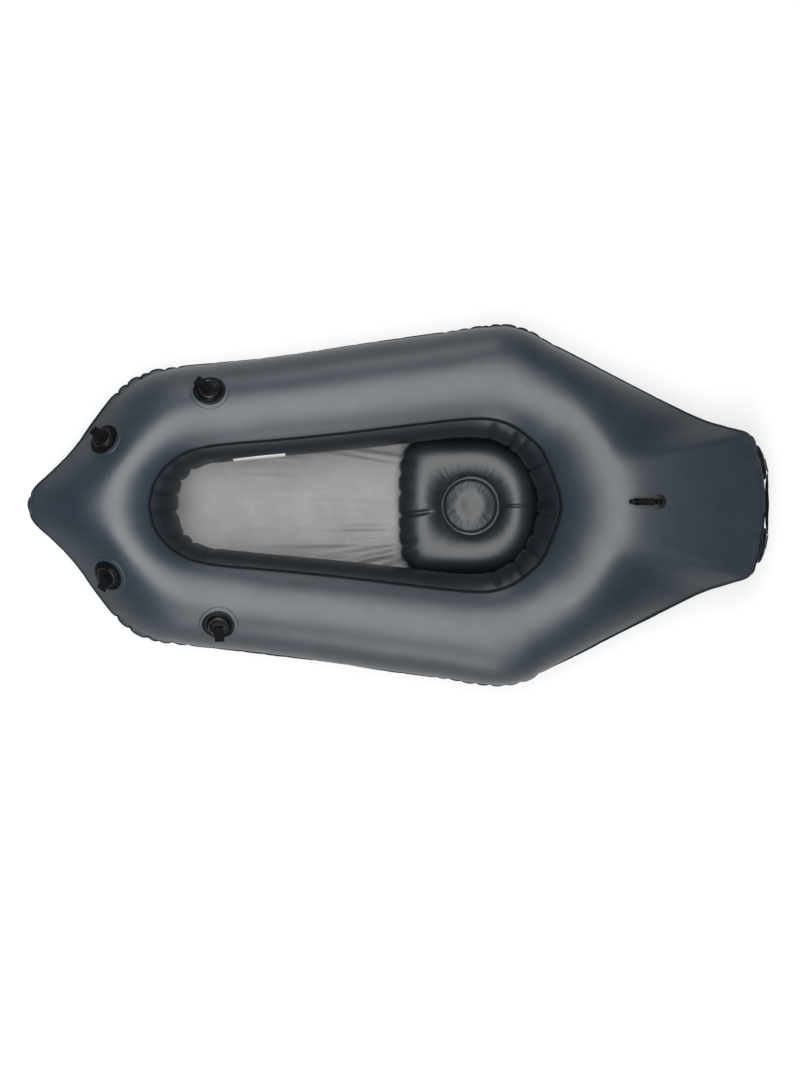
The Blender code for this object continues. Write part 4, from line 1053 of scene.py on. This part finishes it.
def skin_frame(tree, origin, inward, pointing):
    """A placement on a skin where a ray meets it: Z is the skin's normal, X points as asked."""
    origin = Vector(origin)
    inward = Vector(inward).normalized()
    side = inward.orthogonal().normalized() * NORMAL_SPREAD
    across = inward.cross(side)
    hits = [tree.ray_cast(origin + step, inward)[0] for step in (side, -side, across, -across)]
    normal = (hits[0] - hits[1]).cross(hits[2] - hits[3])
    if normal.dot(inward) > 0.0:
        normal = -normal
    return frame_from(tree.ray_cast(origin, inward)[0], pointing, normal)


def draped(name, tree, place, rings, material, *nodes):
    """A round piece whose rings of (radius, height) follow the skin, closed over its middle."""
    outward = place.col[2].to_3d()
    grid = []
    for radius, lift in rings:
        starts = [place @ Vector((radius * math.cos(turn), radius * math.sin(turn), RAY_START))
                  for turn in turns_of(ROUND_SEGMENTS)]
        grid.append([tree.ray_cast(start, -outward)[0] + outward * lift for start in starts])
    piece = grid_object(name, np.array(grid), material, caps=True)
    make_solid(piece)
    return place_piece(piece, "hull", *nodes)


def profile_of(*parts):
    """A turned piece's profile. Each part is a level and the (radius, height) in millimetres over it."""
    return np.concatenate([metres(rows) + (0.0, level) for level, rows in parts])


def turned(name, profile, place, material, body, node, hollow=False, ribs=None, level=0.0):
    """A turned piece, its profile as (radius, height). Ribs: count, depth, low and high from a level."""
    turn = turns_of(ROUND_SEGMENTS)
    radius = np.repeat(profile[:, :1], ROUND_SEGMENTS, axis=1)
    height = np.repeat(profile[:, 1:], ROUND_SEGMENTS, axis=1)
    if ribs:
        count, depth, low, high = ribs
        between = (profile[:, 1] > level + low) & (profile[:, 1] < level + high)
        outside = profile[:, 0] > RIBBED_SHARE * profile[:, 0].max()
        radius[between & outside] -= depth * (0.5 - 0.5 * np.cos(turn * count)) ** 2
    points = moved(np.stack((radius * np.cos(turn), radius * np.sin(turn), height), -1), place)
    piece = grid_object(name, points, material, close_rows=hollow, caps=not hollow)
    make_solid(piece)
    bevel = piece.modifiers.new("Soft edges", "BEVEL")
    bevel.width = TURNED_BEVEL
    bevel.segments = 2
    bevel.limit_method = "ANGLE"
    bevel.angle_limit = TURNED_BEVEL_ANGLE
    place_piece(piece, body, node)


def strap(name, path, ups, width, thickness, body, node, closed=False):
    """Flat webbing along a path, with rounded edges. Ups are the normals of its flat side."""
    sides = STRAP_SECTION[..., 0] * width
    section = np.stack((sides, np.broadcast_to(STRAP_SECTION[..., 1] * thickness, sides.shape)), -1)
    piece = sweep(name, path, ups, section, WEBBING, closed)
    shape = (len(STRAP_SECTION), len(path))
    length = np.broadcast_to(lengths_along(path), shape)
    weave = np.stack((length, np.broadcast_to(sides, shape), np.zeros(shape)), -1)
    attribute = piece.data.attributes.new("weave", "FLOAT_VECTOR", "POINT")
    attribute.data.foreach_set("vector", weave.reshape(-1).astype(np.float32))
    place_piece(piece, body, node)


def resample(points, spacing, closed=False):
    """Evenly spaced points along a polyline."""
    points = np.asarray(points, float)
    if closed:
        points = np.vstack((points, points[:1]))
    length = lengths_along(points)
    count = max(int(round(length[-1] / spacing)), 4)
    wanted = np.linspace(0.0, length[-1], count + 1)
    if closed:
        wanted = wanted[:-1]
    return np.stack([np.interp(wanted, length, column) for column in points.T], -1)


def loop_profile():
    """The webbing loop from its side: a small round root and a wide round end, joined straight."""
    reach = LOOP_LENGTH - LOOP_RADIUS
    tilt = math.asin((LOOP_RADIUS - LOOP_ROOT_RADIUS) / reach)
    half_turn = math.pi / 2.0 + tilt
    ends = [(reach + LOOP_RADIUS * math.cos(turn), 0.0, LOOP_RADIUS * math.sin(turn))
            for turn in np.linspace(-half_turn, half_turn, 13)]
    ends += [(LOOP_ROOT_RADIUS * math.cos(turn), 0.0, LOOP_ROOT_RADIUS * math.sin(turn))
             for turn in np.linspace(half_turn, math.tau - half_turn, 9)]
    return resample(ends, LOOP_SPACING, closed=True), tilt


def joint_vector(body, key):
    """The place, pos_m, or the axis of the record's joint that moves a body."""
    return Vector(next(joint for joint in frame["joints"] if joint["child"] == body)[key])


def build_tie_down(spot, tree, place, rings=PUCK_RINGS, material=PLASTIC):
    """The welded fabric disc and the puck on it, with a thin bead on the puck's shoulder, lighter and
    glossier than the puck, that paints its highlight.
    """
    draped(f"weld_disc_{spot}", tree, place, DISC_RINGS, SLATE, f"tie_disc_{spot}")
    puck = draped(f"puck_{spot}", tree, place, rings, material, f"tie_puck_{spot}")
    first = (rings[:, 1] - GLINT_LEAN * rings[:, 0]).argmax() * ROUND_SEGMENTS
    shoulder = corners_of(puck)[first:first + ROUND_SEGMENTS]
    seam_round(f"puck_painted_glint_{spot}", shoulder, GLINT_RADIUS, GLINT_PLASTIC)


def build_tie_downs(tree, cad_tree):
    """The four tie-downs on the bow half, with their webbing loops in the joints' own places."""
    profile, tilt = loop_profile()
    for spot, (point, pointing) in TIE_DOWNS.items():
        place, cad_place = (skin_frame(skin, (*point, RAY_TOP), DOWN, (*pointing, 0.0))
                            for skin in (tree, cad_tree))
        build_tie_down(spot, tree, place)
        cad_place.translation = joint_vector(f"loop_{spot}", "pos_m")
        matrix = cad_place @ Matrix.Rotation(-tilt, 4, "Y")
        path = moved(profile, matrix)
        ups = np.cross(unit(neighbours(path, 0)), matrix.col[1].to_3d())
        strap(f"webbing_loop_{spot}", path, ups, WEBBING_WIDTH, WEBBING_THICKNESS,
              f"loop_{spot}", f"tie_loop_{spot}", closed=True)


def build_stern_grab(tree):
    """The stern's tie-downs and the strap between them."""
    for (spot, (y, z)), inboard in zip(STERN_TIES.items(), (-1.0, 1.0)):
        place = skin_frame(tree, (RAY_STERN, y, z), (-1.0, 0.0, 0.0), (0.0, inboard, 0.0))
        build_tie_down(spot, tree, place, STERN_PUCK_RINGS, SATIN_PLASTIC)
        node = f"grab_strap_end_{spot}"
        corners = corners_of(frame["nodes"][node])
        halves = np.array_split(corners[np.abs(corners[:, 1]).argsort()], (len(corners) // 2,))
        path = resample([half.mean(0) for half in halves], STRAP_SPACING)
        strap(f"strap_end_{spot}", path, AFT, STRAP_END_WIDTH, GRAB_STRAP_THICKNESS, "hull", node)
    corners = corners_of(frame["nodes"]["stern_grab_strap"])
    ys = np.unique(np.round(corners[:, 1], 4))
    slices = [corners[np.abs(corners[:, 1] - y) < STRAP_SLICE] for y in ys]
    middles = [(points.min(0) + points.max(0)) / 2.0 for points in slices]
    path = resample([(middle[0], y, middle[2]) for middle, y in zip(middles, ys)], STRAP_SPACING)
    width = np.interp(path[:, 1], ys, [np.ptp(points[:, 2]) for points in slices])
    share = (path[:, 1] - path[0, 1]) / (path[-1, 1] - path[0, 1])
    slack = np.clip(4.0 * share * (1.0 - share), 0.0, 1.0) ** 0.5
    path[:, 0] -= STRAP_SAG * slack
    wave = STRAP_LEAN_WAVE * np.sin(math.tau * STRAP_WAVES * share + STRAP_PHASE)
    lean = slack * np.radians(STRAP_LEAN + wave)
    ups = np.stack((np.cos(lean), np.zeros_like(lean), np.sin(lean)), -1)
    strap("grab_strap", path, ups, width, GRAB_STRAP_THICKNESS, "grab_strap", "stern_grab_strap")


# ---------------------------------------------------------------------------------------- air fittings
# Mouth tube: its flange, and its elbow's path as millimetres along and up from the hose's joint.
MOUTH_BASE = (0.692, 0.009)
MOUTH_FLANGE_RINGS = metres(((19, -0.4), (19.2, 2.2), (18, 3), (12, 3.2), (10, 4)))
ELBOW_BACK = 0.0204
ELBOW_BEND = 0.009
ELBOW_FOOT = (0.0116, 0.0080)
ELBOW_END = 0.0092
ELBOW_SPACING = 0.0008
ELBOW_RADIUS = 0.0080
ELBOW_SIDES = 40
ELBOW_RIB = 0.0004
ELBOW_RIB_PITCH = 0.0045

# Its hose, with ribs and a round inner end, and its nozzle over the hose's end.
HOSE_LENGTH = 0.044
HOSE_RADIUS = 0.0090
HOSE_BORE = 0.0060
HOSE_END = ((6, 0), (8.5, 0), (9, -0.6))
HOSE_RIB = ((9, 1.2), (8.3, 0.4), (8.3, -0.8), (9, -1.6))
HOSE_RIBS = HOSE_LENGTH - 0.004 - 0.0042 * np.arange(9)
FITTING_GAP = 0.0004
NOZZLE = (
    (3.2, 22), (5, 22), (5.9, 21), (6.2, 17), (5.8, 15.8), (6.6, 13), (7.1, 8.6), (7.8, 8), (9.6, 7.8),
    (9.8, 6.8), (9.8, 4.8), (9.8, 2.8), (9.8, 0.8), (9.4, 0), (5.6, 0), (5.6, -8), (3.2, -8),
)
NOZZLE_RIBS = (24, 0.0006, 0.001, 0.0075)

# Main valve: the ray that finds its seat, and its parts from their tops and from their feet.
VALVE_OUTSIDE = (0.86, -0.52, 0.030)
VALVE_INSIDE = (0.640, -0.200, 0.110)
VALVE_FLANGE_RINGS = metres(((40, -0.8), (40.2, 3), (38.8, 4.4), (37.6, 3.8), (36.4, 4.4), (19, 4.4)))
VALVE_BASE = (
    (14, 0), (24, 0), (25.6, -0.8), (26, -2.4), (26, -4), (26, -5.6), (26, -7.6), (25.8, -8), (17.3, -8),
)
VALVE_BASE_FOOT = ((17.3, 0), (14, 0))
VALVE_BASE_RIBS = (36, 0.0007, -0.0078, -0.0020)
VALVE_INSERT = ((10.6, 0), (21, 0), (21.9, -0.6), (22, -1.3), (21.9, -2.2), (21.4, -2.6), (13.6, -2.6))
VALVE_INSERT_FOOT = ((13.6, 0), (10.6, 0))
VALVE_INSERT_RIBS = (48, 0.0004, -0.0024, 0.0)
VALVE_FLAP = ((1, 0), (6, 0), (12.8, 0), (13.2, -0.4))
VALVE_FLAP_FOOT = ((12.8, 0), (1, 0))
VALVE_CAP = (
    (1, -0.6), (10, -0.6), (13, -0.2), (16, 0), (20, -0.2), (21.4, -1),
    (22, -2.4), (22, -3.6), (22, -4.8),
)
VALVE_CAP_FOOT = ((21.9, 0.2), (21.5, 0), (1, 0))
VALVE_CAP_RIBS = (28, 0.0009, -0.0059, -0.0012)

# The seat's mouth valve, from its root and from its end, and its stopper.
STEM_END = ((4, 0), (6, 0), (6.5, -0.5))
STEM_ROOT = ((6.5, 6), (6.8, 3.2), (7.8, 2.2), (10, 2), (10.4, 1.4), (10.4, 0), (4, 0))
STOPPER = (
    (0.6, 3.5), (5.8, 3.5), (6.5, 2.8), (6.5, 1.4), (6.5, 0.4), (6.2, 0), (3.6, 0), (3.6, -5.6),
    (3.2, -6.4), (0.6, -6.4),
)
STOPPER_RIBS = (16, 0.0006, 0.0, 0.003)


def build_mouth_tube(tree):
    """The flange, the ribbed elbow, the hose and its push-pull nozzle."""
    place = skin_frame(tree, (*MOUTH_BASE, RAY_TOP), DOWN, (-1.0, 0.0, 0.0))
    draped("mouth_flange", tree, place, MOUTH_FLANGE_RINGS, BLACK_FABRIC, "mouth_tube_flange")
    pivot = joint_vector("mouth_tube", "pos_m")
    direction = joint_vector("mouth_nozzle", "axis").normalized()
    up = direction.cross(joint_vector("mouth_tube", "axis")).normalized()
    if up.z < 0:
        up = -up
    arc = [(-ELBOW_BACK, -low) for low in ELBOW_FOOT]
    for turn in np.linspace(0.15, 1.0, 7) * math.pi / 2.0:
        ahead, up_short = ELBOW_BEND * (1.0 - math.cos(turn)), ELBOW_BEND * (1.0 - math.sin(turn))
        arc.append((ahead - ELBOW_BACK, -up_short))
    arc.append((-ELBOW_END, 0.0))
    path = resample([tuple(pivot + direction * along + up * high) for along, high in arc], ELBOW_SPACING)
    ribs = 0.5 - 0.5 * np.cos(math.tau * lengths_along(path) / ELBOW_RIB_PITCH)
    section = round_section(ELBOW_RADIUS - ELBOW_RIB * ribs, ELBOW_SIDES)
    elbow = sweep("mouth_elbow", path, (0.0, 1.0, 0.0), section, RUBBER, closed=False)
    place_piece(elbow, "hull", "mouth_tube_elbow")

    place = frame_from(pivot, up, direction)
    dome = [(1000.0 * HOSE_RADIUS * math.cos(turn), -1000.0 * HOSE_RADIUS * math.sin(turn))
            for turn in np.linspace(0.0, math.acos(HOSE_BORE / HOSE_RADIUS), 6)]
    hose = profile_of((HOSE_LENGTH, HOSE_END), *((level, HOSE_RIB) for level in HOSE_RIBS), (0.0, dome))
    turned("mouth_hose", hose, place, RUBBER, "mouth_tube", "mouth_tube_hose", hollow=True)
    start = HOSE_LENGTH + FITTING_GAP
    turned("mouth_nozzle", profile_of((start, NOZZLE)), place, PLASTIC, "mouth_nozzle",
           "mouth_tube_nozzle", True, NOZZLE_RIBS, start)


def build_valve(tree):
    """The main valve: welded flange, ribbed base, screwed insert, flap and cap."""
    place = frame_from(joint_vector("valve_insert", "pos_m"), UP, joint_vector("valve_insert", "axis"))
    seat = skin_frame(tree, VALVE_OUTSIDE, Vector(VALVE_INSIDE) - Vector(VALVE_OUTSIDE), UP)
    draped("valve_welded_flange", tree, seat, VALVE_FLANGE_RINGS, BLACK_FABRIC, "valve_flange")
    for name, body, node, material, top, foot, hollow, ribs in (
        ("valve_body", "hull", "valve_base", PLASTIC,
         VALVE_BASE, VALVE_BASE_FOOT, True, VALVE_BASE_RIBS),
        ("valve_screw_insert", "valve_insert", "valve_insert", SATIN_PLASTIC,
         VALVE_INSERT, VALVE_INSERT_FOOT, True, VALVE_INSERT_RIBS),
        ("valve_silicone_flap", "valve_insert", "valve_flap", RUBBER,
         VALVE_FLAP, VALVE_FLAP_FOOT, False, None),
        ("valve_screw_cap", "valve_cap", "valve_cap", PLASTIC,
         VALVE_CAP, VALVE_CAP_FOOT, False, VALVE_CAP_RIBS),
    ):
        heights = moved(corners_of(frame["nodes"][node]), place.inverted())[:, 2]
        low, high = heights.min(), heights.max()
        profile = profile_of((high, top), (low, foot))
        turned(name, profile, place, material, body, node, hollow, ribs, high)


def build_seat_valve():
    """The seat's mouth valve behind it, with its stopper."""
    low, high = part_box("seat_valve_stem")
    centre = (low + high) / 2.0
    place = frame_from(Vector((low.x, centre.y, centre.z)), UP, joint_vector("seat_plug", "axis"))
    length = high.x - low.x
    stem = profile_of((length, STEM_END), (0.0, STEM_ROOT))
    turned("seat_valve_tube", stem, place, RUBBER, "hull", "seat_valve_stem", hollow=True)
    head = length + FITTING_GAP
    turned("seat_valve_stopper", profile_of((head, STOPPER)), place, RUBBER, "seat_plug",
           "seat_valve_plug", ribs=STOPPER_RIBS, level=head)


# The blank pale strip on the starboard cockpit wall.
STRIP_X = (-0.451, -0.310)
STRIP_Z = (0.150, 0.192)
STRIP_ROWS = 14
STRIP_COLUMNS = 40
STRIP_LIFT = 0.0012
STRIP_THICKNESS = 0.0007


def build_strip(tree):
    """The blank pale strip on the starboard cockpit wall."""
    starboard = Vector((0.0, 1.0, 0.0))
    rows = [
        [tree.ray_cast(Vector((x, 0.0, z)), starboard)[0] - starboard * STRIP_LIFT
         for x in np.linspace(*STRIP_X, STRIP_COLUMNS)]
        for z in np.linspace(*STRIP_Z, STRIP_ROWS)
    ]
    strip = grid_object("blank_strip", np.array(rows), STRIP_PALE, close_columns=False)
    add_thickness(strip, STRIP_THICKNESS, 0.0)
    place_piece(strip, "hull", "inner_wall_patch")


def dress_carried_nodes():
    """Materials of the CAD nodes that stay."""
    pad = frame["nodes"]["seat_grip_pad"]
    pad.data.materials.clear()
    pad.data.materials.append(WEBBING)


# ------------------------------------------------------------------------------------ stage and camera
PIXEL = 0.0027
IMAGE_WIDTH = 800
CAMERA_Y = -0.0756
CAMERA_HEIGHT = 9.0
RIM_PLANE = 0.20
SENSOR = 36.0
FLOOR_SIZE = 44.0
FLOOR_Z = -0.0006
FLOOR_COLOURS = ((0.3, (0.19, 0.19, 0.19)), (0.7, (0.20, 0.20, 0.20)))
FLOOR_GLOW = (0.57, 0.57, 0.57, 1.0)
WORLD_COLOUR = (0.72, 0.86, 1.0, 1.0)
WORLD_STRENGTH = 0.14

# Each light's place, size and power. The overhead one leans, the others face the boat's middle.
LIGHTS = {
    "overhead_softbox": ((-1.65, -0.65, 9.5), (11.0, 12.5), 5200.0),
    "starboard_softbox": ((-0.35, 3.2, 1.2), (1.3, 1.2), 38.0),
    "port_softbox": ((-0.25, -3.2, 1.4), (1.4, 1.6), 70.0),
}
OVERHEAD_SLOPE = (0.0, math.radians(55.0), 0.0)


def pale_floor(name):
    """The studio floor, lit from within as a light table is, which keeps its shadows soft."""
    nodes = Nodes(name)
    nodes.ramp(nodes.noise(2.0, 2.0), FLOOR_COLOURS)
    nodes.set(Roughness=0.9, Specular_IOR_Level=0.1, Emission_Color=FLOOR_GLOW, Emission_Strength=1.0)
    return nodes.material


def build_stage():
    """Floor, overhead softbox, side fill and the camera straight above."""
    scene = bpy.context.scene
    bpy.ops.mesh.primitive_grid_add(
        x_subdivisions=8, y_subdivisions=8, size=FLOOR_SIZE, location=(0.0, 0.0, FLOOR_Z))
    floor = bpy.context.object
    floor.name = "studio_floor"
    floor.data.materials.append(pale_floor("studio_floor"))
    scene.world = bpy.data.worlds.new("Studio")
    scene.world.use_nodes = True
    background = scene.world.node_tree.nodes["Background"]
    background.inputs["Color"].default_value = WORLD_COLOUR
    background.inputs["Strength"].default_value = WORLD_STRENGTH
    for name, (place, size, power) in LIGHTS.items():
        light = bpy.data.lights.new(name, "AREA")
        light.shape = "RECTANGLE"
        light.size, light.size_y = size
        light.energy = power
        lamp = bpy.data.objects.new(name, light)
        lamp.location = place
        lamp.rotation_euler = (-Vector(place)).to_track_quat("-Z", "Y").to_euler()
        scene.collection.objects.link(lamp)
    bpy.data.objects["overhead_softbox"].rotation_euler = OVERHEAD_SLOPE
    camera = bpy.data.objects.new("camera", bpy.data.cameras.new("camera"))
    camera.location = (0.0, CAMERA_Y, CAMERA_HEIGHT)
    camera.data.sensor_fit = "HORIZONTAL"
    camera.data.sensor_width = SENSOR
    camera.data.lens = SENSOR * (CAMERA_HEIGHT - RIM_PLANE) / (PIXEL * IMAGE_WIDTH)
    scene.collection.objects.link(camera)
    scene.camera = camera
    scene.view_settings.view_transform = "Standard"


def main():
    """Builds the looks."""
    cad_tree = tree_of(frame["nodes"]["tube_top_panel"])
    top, wall, bottom, end = build_hull()
    build_piping()
    build_rim_seam()
    build_floor()
    build_seat()
    build_seat_valve()
    top_tree = tree_of(top)
    build_tie_downs(top_tree, cad_tree)
    build_stern_grab(tree_of(end))
    build_mouth_tube(top_tree)
    build_valve(tree_of(bottom))
    build_strip(tree_of(wall))
    dress_carried_nodes()
    build_stage()


main()
